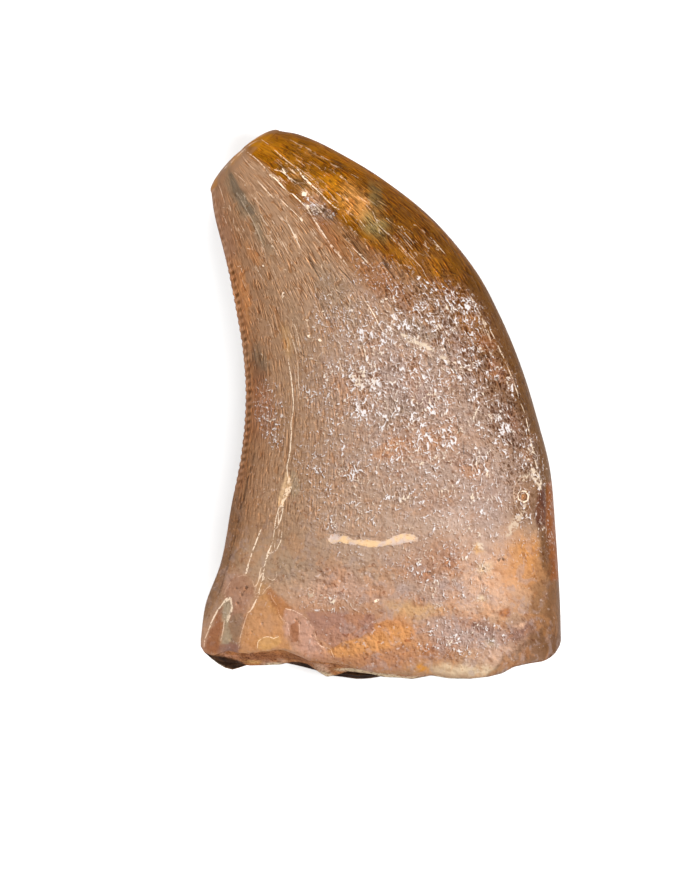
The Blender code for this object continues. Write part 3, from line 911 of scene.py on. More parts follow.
DARK_CRACKS = (
    (1.4, 0.9, ((306.5, 255), (312, 265), (320, 279))),
    (1.3, 0.9, ((316, 294), (322, 306), (328, 318), (332, 328))),
    (1.5, 0.8, ((337.6, 268), (347.6, 277), (354.6, 287))),
    (2.0, 0.7, ((255, 452), (251, 468), (247.5, 480), (244.5, 495), (240, 510), (237, 531))),
    (1.9, 0.6, ((237, 531), (231, 552), (225, 574), (218, 596))),
    (1.3, 0.5, ((404, 345), (421, 353), (440, 364))),
    (3.0, 0.6, ((445, 364), (452, 368), (457, 375))),
    (1.1, 0.6, ((328, 533), (339, 530.5), (351, 535), (366, 535), (384, 537))),
    (1.2, 0.6, ((300, 352), (304, 357), (308, 354))),
    (1.6, 0.7, ((400, 203), (405, 207), (412, 214))),
    (1.6, 0.8, ((415, 219), (422, 226), (431, 233))),
    (1.6, 0.7, ((411, 225), (418, 231))),
    (1.4, 0.6, ((388, 214), (396, 221))),
    (1.2, 0.7, ((445, 268), (458, 276), (470, 288))),
    (1.2, 0.6, ((440, 262), (445, 272), (450, 283))),
    (1.2, 0.6, ((461, 268), (473, 276), (480, 290))),
    (4.0, 0.8, ((246, 586), (246.5, 588))),
    (3.4, 0.7, ((242, 593), (242.5, 595))),
    (3.4, 0.7, ((237.5, 601), (238, 603))),
    (3.4, 0.8, ((497, 559), (497.5, 560))),
    (4.0, 0.8, ((501.5, 557.5), (503, 558.5))),
    (4.6, 0.50, ((478, 576), (479, 578))),
    (3.6, 0.60, ((482, 567), (483, 568))),
    (4.0, 0.45, ((446, 557), (448, 558))),
    (4.0, 0.40, ((427, 571), (431, 573))),
    (4.6, 0.40, ((421, 597), (423, 599))),
    (3.6, 0.50, ((448, 565), (449, 566))),
    (3.0, 0.60, ((296, 617), (297, 618))),
    (3.0, 0.60, ((300, 621), (300.5, 622))),
    (3.0, 0.50, ((312, 633), (313, 634))),
    (2.8, 0.55, ((262, 622), (263, 622.5))),
    (2.8, 0.50, ((252, 630), (253, 631))),
    (3.0, 0.50, ((236, 587), (237, 588))),
    (2.6, 0.60, ((231, 638), (231.5, 639))),
)
RIDGE_LINE = (
    (455, 275), (470, 297), (480.6, 316.7), (492, 335), (497.6, 348), (504.7, 363.4), (511.7, 380.4),
    (517.4, 398.8), (523, 413), (527.3, 430), (530, 444), (533, 457.5), (536, 469.5), (540, 500),
    (542, 530),
)
# What the fine marks, and the painted highlights and painted shadows beside them, multiply the ground by.
DASH_DARK = (0.75, 0.69, 0.63, 1.0)
DASH_LIGHT = (1.16, 1.15, 1.12, 1.0)
HAIR_DARK = (0.52, 0.44, 0.37, 1.0)
# Painted highlight beside dark hairlines and dark cracks.
HAIR_PAINTED_HIGHLIGHT = (1.60, 1.52, 1.40, 1.0)
# Painted shadow beside pale strokes and pale cracks.
STROKE_PAINTED_SHADOW = (0.50, 0.40, 0.32, 1.0)
BROWN_TINT = (0.66, 0.55, 0.47, 1.0)
# Painted shade and painted highlight on the two sides of pebbles.
PEBBLE_PAINTED_SHADE = (0.69, 0.62, 0.57, 1.0)
PEBBLE_PAINTED_HIGHLIGHT = (1.28, 1.26, 1.23, 1.0)
SPOT_TINT = (0.66, 0.50, 0.42, 1.0)
PIT_TINT = (0.38, 0.28, 0.21, 1.0)
DULL_CRACK = (1.6, 1.55, 1.45, 1.0)
BREAK_DARK = (0.55, 0.45, 0.38, 1.0)
BREAK_LIGHT = (1.30, 1.25, 1.20, 1.0)
PORE_TINT = (0.50, 0.42, 0.36, 1.0)
# Noises in lumps to a millimetre: scale, detail, roughness and, for some, distortion.
RUSTY_PATCHES = (0.9, 4.0, 0.6, 0.6)
GREY_PATCHES = (1.3, 4.0, 0.6, 0.6)
BROWN_PATCHES = (1.9, 4.0, 0.6, 0.5)
PEBBLES = (2.8, 2.0, 0.58)
SPOTS = (3.2, 1.0, 0.5)
FLECKS = (4.2, 1.0, 0.5)
# Shifts that keep two noises of one kind apart.
GREY_APART = (13.0, 7.0, 3.0)
BROWN_APART = (3.0, 23.0, 9.0)
SPOTS_APART = (7.0, 3.0, 11.0)
FLECKS_APART = (2.0, 13.0, 5.0)
HAIRS_APART = (5.0, 9.0, 2.0)
STROKES_APART = (31.0, 17.0, 5.0)
# Streaks: how often they repeat along the tooth and across it, and across it where the tooth is narrower.
DASHES = (1.6, 10.0)
LONG_HAIRS = (0.34, 5.0)
SHORT_HAIRS = (0.90, 6.0)
STREAK_PARTS = (1.0, 0.58, 0.34)
STROKE_STRETCH = (3.4, 1.7, 1.0)
HAIR_HALF_WIDTH = 0.065
STROKE_HALF_WIDTH = 0.115
# How far the painted highlight or painted shadow beside a mark lies from it: in the skin's own lengths, in
# millimetres and in pixels.
FLOW_SHIFT = (0.09, -0.06, 0.0)
PLACE_SHIFT = (0.06, 0.05, 0.0)
LINE_SHIFT = (1.3, -1.0, 0.0)
# A line's width at its ends and what is added at its middle, as shares of the width given for it.
LINE_TAPER = (0.45, 0.40)
CRACK_TAPER = (0.35, 0.33)
LINE_REACH = 14.0
LINE_GUARD = 3.0
SCRATCH_COUNT = 420
SCRATCH_SEED = 7
FURROW_COUNT = 260
# First place across, where they thin out, mean half length, widths in pixels and tones.
SCRATCH_LOOK = (0.06, 0.42, 0.13, (0.6, 1.2), (0.05, 0.65))
FURROW_LOOK = (0.62, 0.56, 0.26, (1.2, 2.2), (0.6, 1.0))

# Where the pale mineral bloom lies: x, y, radius along, radius across, turn, strength.
BLOOM = (
    (412, 392, 100, 66, 62, 0.62),
    (446, 346, 60, 26, 58, 0.72),
    (402, 336, 50, 24, 24, 0.62),
    (440, 475, 100, 60, 20, 0.38),
    (500, 440, 66, 20, 76, 0.40),
    (352, 340, 46, 24, 60, 0.42),
    (350, 385, 40, 40, 0, 0.55),
    (330, 600, 34, 9, 6, 0.35),
    (272, 410, 24, 14, 80, 0.34),
    (440, 560, 50, 26, 0, 0.30),
    (464, 636, 42, 16, 0, 0.34),
    (446, 590, 34, 16, 0, 0.34),
    (318, 210, 18, 9, 28, 0.50),
    (340, 480, 60, 34, 80, 0.35),
    # The thick clusters.
    (366, 380, 26, 16, -20, 0.90),
    (403, 366, 22, 13, 20, 0.86),
    (357, 408, 15, 15, 0, 0.85),
    (370, 341, 20, 13, 20, 0.80),
    (432, 399, 14, 11, 0, 0.90),
    (446, 437, 12, 10, 0, 0.90),
    (472, 367, 18, 11, 20, 0.85),
    (506, 382, 14, 9, 60, 0.54),
    (456, 310, 30, 16, 40, 0.82),
    (424, 322, 34, 14, 20, 0.80),
    (351, 470, 15, 13, 0, 0.80),
    (402, 496, 15, 9, 0, 0.74),
    (528, 452, 30, 9, 76, 0.64),
    (480, 462, 17, 17, 0, 0.74),
    (272, 428, 20, 8, 70, 0.46),
)

# Where fine hairlines lie, where the ground is pebbled, and where the bloom has dark gaps.
HAIRS = (
    (300, 250, 110, 60, 60, 1.00),
    (390, 220, 110, 50, 44, 1.00),
    (280, 170, 70, 50, 40, 0.80),
    (290, 420, 150, 80, 84, 0.75),
    (262, 300, 60, 24, 80, 1.00),
    (235, 400, 260, 34, 90, 0.75),
    (330, 500, 60, 60, 0, 0.60),
)
PEBBLED = (
    (420, 430, 130, 110, 60, 0.85),
    (330, 500, 80, 60, 0, 0.75),
    (285, 340, 90, 40, 84, 0.35),
    (340, 578, 80, 28, 0, 1.00),
    (440, 585, 70, 40, 0, 0.80),
    (470, 630, 80, 40, 0, 1.00),
    (535, 560, 30, 60, 0, 0.70),
    (225, 590, 40, 90, 0, 0.45),
    (270, 620, 70, 40, 0, 0.45),
    (370, 640, 90, 30, 0, 0.90),
)
# Where the ground is smooth.
SMOOTH = ((238, 186, 50, 24, 62, 0.55), (318, 152, 70, 26, 36, 0.35))
COARSE = (
    (455, 290, 60, 20, 48, 0.80),
    (430, 318, 80, 30, 40, 0.90),
    (480, 370, 80, 34, 60, 1.00),
    (508, 440, 70, 26, 76, 1.00),
    (370, 330, 60, 40, 50, 0.50),
    (420, 400, 60, 60, 0, 0.45),
    (430, 480, 90, 50, 0, 0.30),
)


def linear(colour):
    """A 0 to 255 screen colour as linear light."""
    share = np.array(colour, float) / 255.0
    return np.where(share <= 0.04045, share / 12.92, ((share + 0.055) / 1.055) ** 2.4)


def albedo(name):
    """What the skin reflects to show a tone of the palette: the tone less the gloss that lies over it."""
    return np.maximum(linear(PALETTE[name]) - GLOSS_VEIL, 0.002) / MATT_GAIN


def cover_of(pixels, x, y, along, across, turn, softness):
    """1 inside a turned ellipse and 0 outside, with a soft edge."""
    offset = pixels - np.array([x, y])
    cosine = math.cos(math.radians(turn))
    sine = math.sin(math.radians(turn))
    first = (offset[..., 0] * cosine + offset[..., 1] * sine) / along
    second = (offset[..., 1] * cosine - offset[..., 0] * sine) / across
    return 1.0 - between(np.hypot(first, second), 1.0 - softness, 1.0 + softness)


def blend(colour, name, cover):
    """Some of a palette tone laid over the colours."""
    return colour + (albedo(name) - colour) * cover[..., None]


def warped(spot, seed):
    """Places pushed about, so that a patch painted there gets an uneven edge."""
    broad = np.stack([rough(spot, 34.0, seed), rough(spot, 34.0, seed + 9)], axis=-1)
    fine = np.stack([rough(spot, 8.0, seed + 20, 3), rough(spot, 8.0, seed + 29, 3)], axis=-1)
    return spot[..., :2] + 8.0 * broad + 4.0 * fine


def paint_areas(colour, areas, pixels):
    """Lays a tone over all that is beyond a line."""
    for name, side, strength, softness, line in areas:
        line = np.array(line, float)
        edge = np.interp(pixels[..., 0], line[:, 0], line[:, 1], left=-1e3 * side, right=line[-1, 1])
        cover = between((edge - pixels[..., 1]) * side, -softness, softness)
        colour = blend(colour, name, strength * cover)
    return colour


def paint_strip(colour, strip, gap, rows):
    """Lays a tone along an edge, given the distance to it and the row of the photograph, both in pixels."""
    name, strength, reach, first, last = strip
    return blend(colour, name, strength * between(gap, reach, 0.4 * reach) * between(rows, first, last))


def paint(colour, stains, pixels):
    """Blends soft-edged patches into the colours, one after another."""
    for name, x, y, along, across, turn, strength, softness in stains:
        colour = blend(colour, name, strength * cover_of(pixels, x, y, along, across, turn, softness))
    return colour


def depth_inside(places, outline):
    """How deep each place is inside a closed outline; negative outside it."""
    corners = np.array(outline, float)
    inside = np.zeros(len(places), bool)
    nearest = np.full(len(places), np.inf)
    for start, end in zip(corners, np.roll(corners, -1, axis=0)):
        run = end - start
        part = np.clip(((places - start) @ run) / (run @ run), 0.0, 1.0)
        nearest = np.minimum(nearest, np.linalg.norm(places - start - part[:, None] * run, axis=1))
        spans = (start[1] > places[:, 1]) != (end[1] > places[:, 1])
        slope = run[0] / run[1] if run[1] else 0.0
        inside ^= spans & (places[:, 0] < start[0] + (places[:, 1] - start[1]) * slope)
    return np.where(inside, nearest, -nearest)


def lay_plates(colour, plates, pixels):
    """Lays crisp-edged patches over the colours, one after another."""
    places = pixels.reshape(-1, 2)
    flat = colour.reshape(-1, 3).copy()
    for name, strength, outline in plates:
        corners = np.array(outline, float)
        inside = (places > corners.min(axis=0) - 2.0) & (places < corners.max(axis=0) + 2.0)
        near = np.flatnonzero(inside.all(axis=1))
        cover = between(depth_inside(places[near], outline), -1.0, 1.0)
        flat[near] = blend(flat[near], name, strength * cover)
    return flat.reshape(colour.shape)


def density(pixels, patches):
    """The greatest of some soft patches at each place."""
    covers = [strength * cover_of(pixels, *patch, 0.7) for *patch, strength in patches]
    return np.max(covers, axis=0)


def line_field(pixels, lines, taper=LINE_TAPER):
    """For each place: the nearest line's offset with a guard that grows away from it, its width and tone.

    The guard keeps the offset from passing through zero between two points that are nearest to other lines.
    """
    places = pixels.reshape(-1, 2)
    best = np.full(len(places), LINE_REACH)
    offset = np.full(places.shape, LINE_REACH)
    width = np.ones(len(places))
    tone = np.zeros(len(places))
    for thick, bright, line in lines:
        line = np.array(line, float)
        lengths = lengths_along(line)
        inside = (places > line.min(axis=0) - LINE_REACH) & (places < line.max(axis=0) + LINE_REACH)
        near = np.flatnonzero(inside.all(axis=1))
        for index, (start, end) in enumerate(zip(line, line[1:])):
            run = end - start
            part = np.clip(((places[near] - start) @ run) / (run @ run), 0.0, 1.0)
            away = start + part[:, None] * run - places[near]
            along = (lengths[index] + part * np.linalg.norm(run)) / lengths[-1]
            local = thick * (taper[0] + taper[1] * np.sin(math.pi * along))
            gap = np.hypot(away[:, 0], away[:, 1]) - 0.5 * local
            closer = gap < best[near]
            chosen = near[closer]
            best[chosen] = gap[closer]
            offset[chosen] = away[closer]
            width[chosen] = local[closer]
            tone[chosen] = bright
    guard = np.clip(best - LINE_GUARD, 0.0, LINE_REACH)
    shape = pixels.shape[:-1]
    vector = np.concatenate([offset, guard[:, None]], axis=1).reshape(*shape, 3)
    flat = {"width": width, "tone": tone, "gap": best}
    return {"offset": vector, **{key: values.reshape(shape) for key, values in flat.items()}}


def scratches(skin, seed, count, look=SCRATCH_LOOK):
    """Short scratches that follow the tooth's own lines, thinning out towards the base."""
    first, thinning, longest, widths, tones = look
    draw = np.random.default_rng(seed)
    lines = []
    while len(lines) < count:
        across, share = draw.uniform(first, 0.94), draw.uniform(0.30, 0.96)
        if draw.uniform() > 0.12 + 0.88 * ease((share - thinning) / 0.35):
            continue
        reach = (draw.exponential(longest) + 0.05) / skin.length
        lean = draw.normal(0.0, 0.004)
        way = np.array([-1.0, 1.0])
        ends = skin.flank(across + lean * way, share + reach * way)
        lines.append((draw.uniform(*widths), draw.uniform(*tones), tuple(map(tuple, to_pixels(ends)))))
    return tuple(lines)


# ---- Relief: how far the skin stands out or in, in millimetres. ----
UNDULATION = 0.05
FLUTE_DEPTH = 0.02
CRACK_DEPTH = 0.03
SCAR_DEPTH = 0.10
CRUST_HEIGHT = 0.06
PIT_DEPTH = 0.09
RIDGE_HEIGHT = 0.10
# How far a crack's groove and the ridge reach beside their lines, in pixels.
CRACK_REACH = 1.3
RIDGE_REACH = 2.6


def beside(field, reach):
    """1 on a line, falling off over a reach beside it."""
    return bell(np.maximum(field["gap"], 0.0), 0.0, reach)


def relief(skin, fields):
    """The height of every lump, groove and ridge over the smooth form."""
    point = skin.point
    flow = np.stack([skin.across * 20.0, skin.share * 3.5, skin.sides], axis=-1)
    height = UNDULATION * rough(point, 3.6, 41, 3)
    height += FLUTE_DEPTH * rough(flow, 1.1, 47, 3)
    height -= CRACK_DEPTH * beside(fields["crack"], CRACK_REACH)
    height -= CRACK_DEPTH * beside(fields["dark"], CRACK_REACH)
    height -= PIT_DEPTH * (fields["dark"]["width"] > 3.0) * between(fields["dark"]["gap"], 0.8, -0.8)
    height -= SCAR_DEPTH * between(fields["scar"]["gap"], 1.2, -1.2)
    height += CRUST_HEIGHT * between(fields["crust"]["gap"], 1.0, -2.0) * (1.0 + rough(point, 0.4, 53, 2))
    height += RIDGE_HEIGHT * beside(fields["ridge"], RIDGE_REACH)
    outside = skin.zone[:, None] >= RIM
    inward = np.minimum(skin.across, 1.0 - skin.across)
    return height * outside * ease(inward / 0.03)


def mark_fields(skin, pixels):
    """Line fields for both flanks: the upper one has the placed marks, the lower one scratches alone."""
    upper = skin.sides >= 0
    above = np.where(upper[..., None], pixels, -1e4)
    below = np.where(upper[..., None], -1e4, pixels)
    crack = line_field(above, UPPER_CRACKS + scratches(skin, SCRATCH_SEED, SCRATCH_COUNT), CRACK_TAPER)
    under = line_field(below, scratches(skin, SCRATCH_SEED + 1, SCRATCH_COUNT // 2), CRACK_TAPER)
    for key in crack:
        choose = upper[..., None] if crack[key].ndim == 3 else upper
        crack[key] = np.where(choose, crack[key], under[key])
    ridge = line_field(above, ((0.0, 0.0, RIDGE_LINE),))
    furrows = scratches(skin, SCRATCH_SEED + 2, FURROW_COUNT, FURROW_LOOK)
    dark = line_field(above, DARK_CRACKS + furrows)
    scar = line_field(above, SCAR)
    crust = line_field(above, CRUSTS)
    return {"crack": crack, "dark": dark, "scar": scar, "crust": crust, "ridge": ridge}


def edge_painted_shade(skin, colour, spot):
    """Painted shade inside the mesial and the distal edge, where the rounded flanks turn away from the
    light.
    """
    inward = skin.across * skin.width
    ragged = 5.0 * rough(spot, 16.0, 67)
    colour = paint_strip(colour, MESIAL_PAINTED_SHADE, (skin.width - inward) / PIXEL + ragged, spot[..., 1])
    return paint_strip(colour, DISTAL_PAINTED_SHADE, inward / PIXEL + ragged, spot[..., 1])


def stain_and_shade_colours(skin, pixels):
    """The skin's broad colours: stained outside, with painted shade inside the edges; brown on the broken
    faces, with painted shade over the lower wall's broken face and in the cavity.
    """
    spot = np.concatenate([pixels, skin.point[..., 2:] / PIXEL], axis=-1)
    base = np.broadcast_to(albedo("tan"), pixels.shape[:-1] + (3,))
    moved = warped(spot, 61)
    nudged = pixels + 0.2 * (moved - pixels) + 1.6 * rough(spot, 5.0, 91, 2)[..., None]
    upper = paint_areas(paint(base, BROAD_STAINS, moved), AREAS, pixels + 0.4 * (moved - pixels))
    # Painted shade inside both edges of the upper flank.
    upper = edge_painted_shade(skin, upper, spot)
    upper = paint_areas(paint(upper, UPPER_STAINS, moved), CORNERS, moved)
    upper = lay_plates(upper, PLATES, nudged)
    other = warped(spot, 71)
    under = paint_areas(paint(paint(base, BROAD_STAINS, other), UNDER_STAINS, other), AREAS, other)
    # Painted shade inside both edges of the lower flank.
    under = edge_painted_shade(skin, under, spot)
    height = between(skin.sides * (1.0 - 2.0 * np.abs(skin.across - 0.5)), -0.06, 0.02)
    colour = under + (upper - under) * height[..., None]

    inward = skin.across * skin.width
    rows = pixels[..., 1]
    serrated = between(skin.share, SERRATED_FROM - 0.02, SERRATED_FROM + 0.06)
    serrated = serrated * (1.0 - between(skin.share, 0.80, 0.87))
    strip = between(inward, 0.75, 0.35) * serrated * skin.mask(CROWN)
    colour = blend(colour, "rust", (0.30 + 0.45 * between(rows, 350.0, 300.0)) * strip)
    colour = blend(colour, "peach", 0.40 * between(inward, 0.40, 0.12) * skin.crest)
    colour = blend(colour, "brick", 0.35 * strip * between(rough(spot, 20.0, 83), -0.1, 0.4))

    face = skin.mask(BREAK)
    wall = face * (skin.sides > 0)
    patch = rough(spot, 14.0, 87)
    colour = blend(colour, "copper", face)
    colour = blend(colour, "rose", 0.6 * wall * between(patch, 0.0, 0.3))
    worn = skin.mask(TIP)
    colour = blend(colour, "clay", 0.45 * worn * between(patch, -0.3, 0.3))
    colour = blend(colour, "honey", 0.40 * worn * between(patch, 0.1, -0.4))
    fine_moved = spot[..., :2] + 1.5 * (moved - spot[..., :2]) / 12.0
    colour = colour + (paint(colour, BREAK_STAINS_AND_SHADE, fine_moved) - colour) * wall[..., None]
    # Painted shade: the lower wall's broken face lies under the upper wall's overhang, so it is painted
    # near black.
    lower = face * (skin.sides <= 0)
    colour = blend(colour, "shadow", lower)
    colour = blend(colour, "umber", 0.50 * lower * between(patch, -0.1, 0.4))
    far = line_field(np.where((skin.sides <= 0)[..., None], pixels, -1e4), (FAR_RIM,))["gap"]
    colour = blend(colour, "cream", 0.8 * face * between(far, 0.8, -0.4))
    # Painted shade in the hollow of the cavity.
    colour = blend(colour, "shadow", skin.mask(CAVITY))
    return np.concatenate([colour, np.ones(colour.shape[:-1] + (1,))], axis=-1)


class Graph:
    """Short names for the material nodes used here."""

    def __init__(self, material):
        material.use_nodes = True
        self.tree = material.node_tree
        self.shader = self.tree.nodes["Principled BSDF"]

    def node(self, kind, inputs, **settings):
        made = self.tree.nodes.new(kind)
        for name, value in settings.items():
            setattr(made, name, value)
        for name, value in inputs.items():
            socket = made.inputs[name]
            if isinstance(value, bpy.types.NodeSocket):
                self.tree.links.new(value, socket)
            else:
                socket.default_value = value
        return made

    def attribute(self, name, output="Fac"):
        return self.node("ShaderNodeAttribute", {}, attribute_name=name).outputs[output]

    def math(self, operation, *values, clamp=False):
        made = self.node("ShaderNodeMath", dict(enumerate(values)), operation=operation, use_clamp=clamp)
        return made.outputs[0]

    def times(self, first, second):
        return self.math("MULTIPLY", first, second)

    def plus(self, first, second):
        return self.math("ADD", first, second)

    def minus(self, first, second):
        return self.math("SUBTRACT", first, second)

    def times_plus(self, first, second, third):
        return self.math("MULTIPLY_ADD", first, second, third)

    def vector(self, operation, *values):
        made = self.node("ShaderNodeVectorMath", dict(enumerate(values)), operation=operation)
        return made.outputs["Value"] if operation == "LENGTH" else made.outputs["Vector"]

    def moved(self, vector, shift):
        return self.vector("ADD", vector, shift)

    def stretched(self, vector, factors):
        return self.vector("MULTIPLY", vector, factors)

    def scaled(self, vector, factor):
        return self.node("ShaderNodeVectorMath", {0: vector, "Scale": factor}, operation="SCALE").outputs[0]

    def noise(self, vector, scale, detail, roughness, distortion=0.0, output="Fac"):
        inputs = {"Vector": vector, "Scale": scale, "Detail": detail, "Roughness": roughness}
        inputs["Distortion"] = distortion
        return self.node("ShaderNodeTexNoise", inputs).outputs[output]

    def step(self, value, low, high):
        inputs = {"Value": value, "From Min": low, "From Max": high}
        made = self.node("ShaderNodeMapRange", inputs, interpolation_type="SMOOTHSTEP", clamp=True)
        return made.outputs[0]

    def patches(self, vector, look, low, high):
        """A step through a noise with a scale, a detail, a roughness and, for some, a distortion."""
        return self.step(self.noise(vector, *look), low, high)

    def between(self, share, first, second):
        made = self.node("ShaderNodeMix", {0: share, 2: first, 3: second}, data_type="FLOAT")
        return made.outputs[0]

    def mix(self, share, first, second, blend="MIX"):
        made = self.node("ShaderNodeMix", {}, data_type="RGBA", blend_type=blend)
        for index, value in ((0, share), (6, first), (7, second)):
            if isinstance(value, bpy.types.NodeSocket):
                self.tree.links.new(value, made.inputs[index])
            else:
                made.inputs[index].default_value = value
        return made.outputs[2]

    def tint(self, share, colour, factors):
        """The colour multiplied by some factors."""
        return self.mix(share, colour, factors, "MULTIPLY")

    def finish(self, colour, height, distance, roughness, gloss):
        """Joins the colour, a bump of a distance in metres, the roughness and the gloss to the shader."""
        bump = self.node("ShaderNodeBump", {"Height": height, "Strength": 1.0, "Distance": distance})
        self.tree.links.new(colour, self.shader.inputs["Base Color"])
        self.tree.links.new(bump.outputs["Normal"], self.shader.inputs["Normal"])
        if isinstance(roughness, bpy.types.NodeSocket):
            self.tree.links.new(roughness, self.shader.inputs["Roughness"])
        else:
            self.shader.inputs["Roughness"].default_value = roughness
        self.shader.inputs["Specular IOR Level"].default_value = gloss


def shade(name):
    """A palette tone as a node value."""
    return (*albedo(name), 1.0)


def line_mask(graph, label, place, wobble, softness, shift=(0.0, 0.0, 0.0)):
    """1 on a line's width and 0 beside it, with an uneven edge; the whole line may be shifted."""
    offset = graph.vector("SUBTRACT", graph.attribute(label, "Vector"), shift)
    jitter = graph.noise(place, 5.0, 2.0, 0.6, output="Color")
    jitter = graph.scaled(graph.vector("SUBTRACT", jitter, (0.5, 0.5, 0.5)), wobble)
    distance = graph.vector("LENGTH", graph.moved(offset, jitter))
    gap = graph.minus(distance, graph.times(graph.attribute(label + "_width"), 0.5))
    return graph.step(gap, softness, -softness)


def streaks(graph, flow, wide, along, fine, detail=1.0):
    """Fine streaks along the tooth, evenly spaced although the tooth narrows to its tip."""
    fields = [graph.stretched(flow, (fine * part, along, 1.0)) for part in STREAK_PARTS]
    broad, middle, narrow = (graph.noise(field, 1.0, detail, 0.5, 0.1) for field in fields)
    lower = graph.between(graph.step(wide, 0.62, 0.78), middle, broad)
    return graph.between(graph.step(wide, 0.38, 0.50), narrow, lower)


def contour(graph, field, half):
    """1 along the middle contour of a noise, falling to 0 at half a width from it."""
    away = graph.math("ABSOLUTE", graph.minus(field, 0.5))
    return graph.math("SUBTRACT", 1.0, graph.math("DIVIDE", away, half), clamp=True)


def hairs(graph, flow, wide, along, fine, gate):
    """Thin broken lines along the tooth."""
    line = contour(graph, streaks(graph, flow, wide, along, fine, 0.0), HAIR_HALF_WIDTH)
    return graph.times(graph.step(line, 0.10, 0.65), gate)


def mottling(graph, place, colour):
    """Ragged patches of rust, grey and brown, strongest near the base."""
    mottled = graph.attribute("mottled")
    rusty = graph.patches(place, RUSTY_PATCHES, 0.50, 0.60)
    colour = graph.mix(graph.times(rusty, graph.times(mottled, 0.30)), colour, shade("rust"))
    grey = graph.patches(graph.moved(place, GREY_APART), GREY_PATCHES, 0.51, 0.63)
    colour = graph.mix(graph.times(grey, graph.times(mottled, 0.40)), colour, shade("lilac"))
    brown = graph.patches(graph.moved(place, BROWN_APART), BROWN_PATCHES, 0.54, 0.66)
    return graph.tint(graph.times(brown, graph.times_plus(mottled, 0.35, 0.25)), colour, BROWN_TINT)


def pebbling(graph, place, colour):
    """Pebbles with painted shade on one side and a painted highlight on the other, dark spots and flecks.
    Also gives the pebbles, for the relief.
    """
    pebbled = graph.attribute("pebbled")
    pebbles = graph.noise(place, *PEBBLES)
    slope = graph.minus(graph.noise(graph.moved(place, PLACE_SHIFT), *PEBBLES), pebbles)
    # Painted shade and painted highlight: the pebble noise less a shifted copy of it darkens one side of
    # each pebble and lightens the other.
    colour = graph.tint(graph.times(graph.step(slope, 0.01, 0.13), pebbled), colour, PEBBLE_PAINTED_SHADE)
    colour = graph.tint(graph.times(graph.step(slope, -0.01, -0.13), pebbled), colour, PEBBLE_PAINTED_HIGHLIGHT)
    spots = graph.patches(graph.moved(place, SPOTS_APART), SPOTS, 0.34, 0.27)
    colour = graph.tint(graph.times(spots, pebbled), colour, SPOT_TINT)
    flecks = graph.patches(graph.moved(place, FLECKS_APART), FLECKS, 0.66, 0.74)
    colour = graph.mix(graph.times(flecks, graph.times(pebbled, 0.6)), colour, shade("blush"))
    return colour, graph.times(pebbles, pebbled)


def grain(graph, place, colour):
    """Dashes and hairlines along the tooth. Also gives the dashes themselves, for the relief."""
    flow = graph.attribute("flow", "Vector")
    wide = graph.attribute("wide")
    grit = graph.attribute("grit")
    dashes = streaks(graph, flow, wide, *DASHES)
    colour = graph.tint(graph.times(graph.step(dashes, 0.49, 0.36), grit), colour, DASH_DARK)
    colour = graph.tint(graph.times(graph.step(dashes, 0.53, 0.66), grit), colour, DASH_LIGHT)
    hair = graph.attribute("hairs")
    here = graph.times(graph.patches(place, (1.4, 3.0, 0.6), 0.45, 0.56), hair)
    colour = hair_pair(graph, flow, wide, LONG_HAIRS, here, colour)
    there = graph.times(graph.patches(place, (1.7, 3.0, 0.6), 0.56, 0.45), hair)
    colour = hair_pair(graph, graph.moved(flow, HAIRS_APART), wide, SHORT_HAIRS, there, colour)
    return colour, graph.times(dashes, grit)


def hair_pair(graph, flow, wide, scale, gate, colour):
    """Dark broken lines along the tooth, each with a painted highlight on one side."""
    # Painted highlight: the same hairlines, shifted, lighten the ground beside each dark one.
    light = hairs(graph, graph.moved(flow, FLOW_SHIFT), wide, *scale, gate)
    dark = hairs(graph, flow, wide, *scale, gate)
    return graph.tint(dark, graph.tint(light, colour, HAIR_PAINTED_HIGHLIGHT), HAIR_DARK)


def strokes(graph, place, flow):
    """Contours of three noises, added up: high where two of them meet, low in the gaps between them."""
    fields = (
        graph.noise(graph.stretched(flow, STROKE_STRETCH), 1.0, 1.0, 0.5, 0.6),
        graph.noise(place, 3.1, 1.0, 0.5, 0.6),
        graph.noise(graph.moved(place, STROKES_APART), 2.3, 1.0, 0.5, 0.8),
    )
    first, second, third = (contour(graph, field, STROKE_HALF_WIDTH) for field in fields)
    return graph.plus(graph.plus(first, second), third)


def bloom_ground(graph, place, colour, bloom):
    """Ochre and grey blotches under the bloom."""
    ochre = graph.times(graph.patches(place, (1.5, 3.0, 0.6), 0.54, 0.64), bloom)
    colour = graph.mix(graph.times(ochre, 0.40), colour, shade("rust"))
    blotch = graph.times(graph.patches(place, (4.0, 2.0, 0.6), 0.46, 0.62), graph.times(bloom, 0.34))
    return graph.mix(blotch, colour, shade("lilac"))


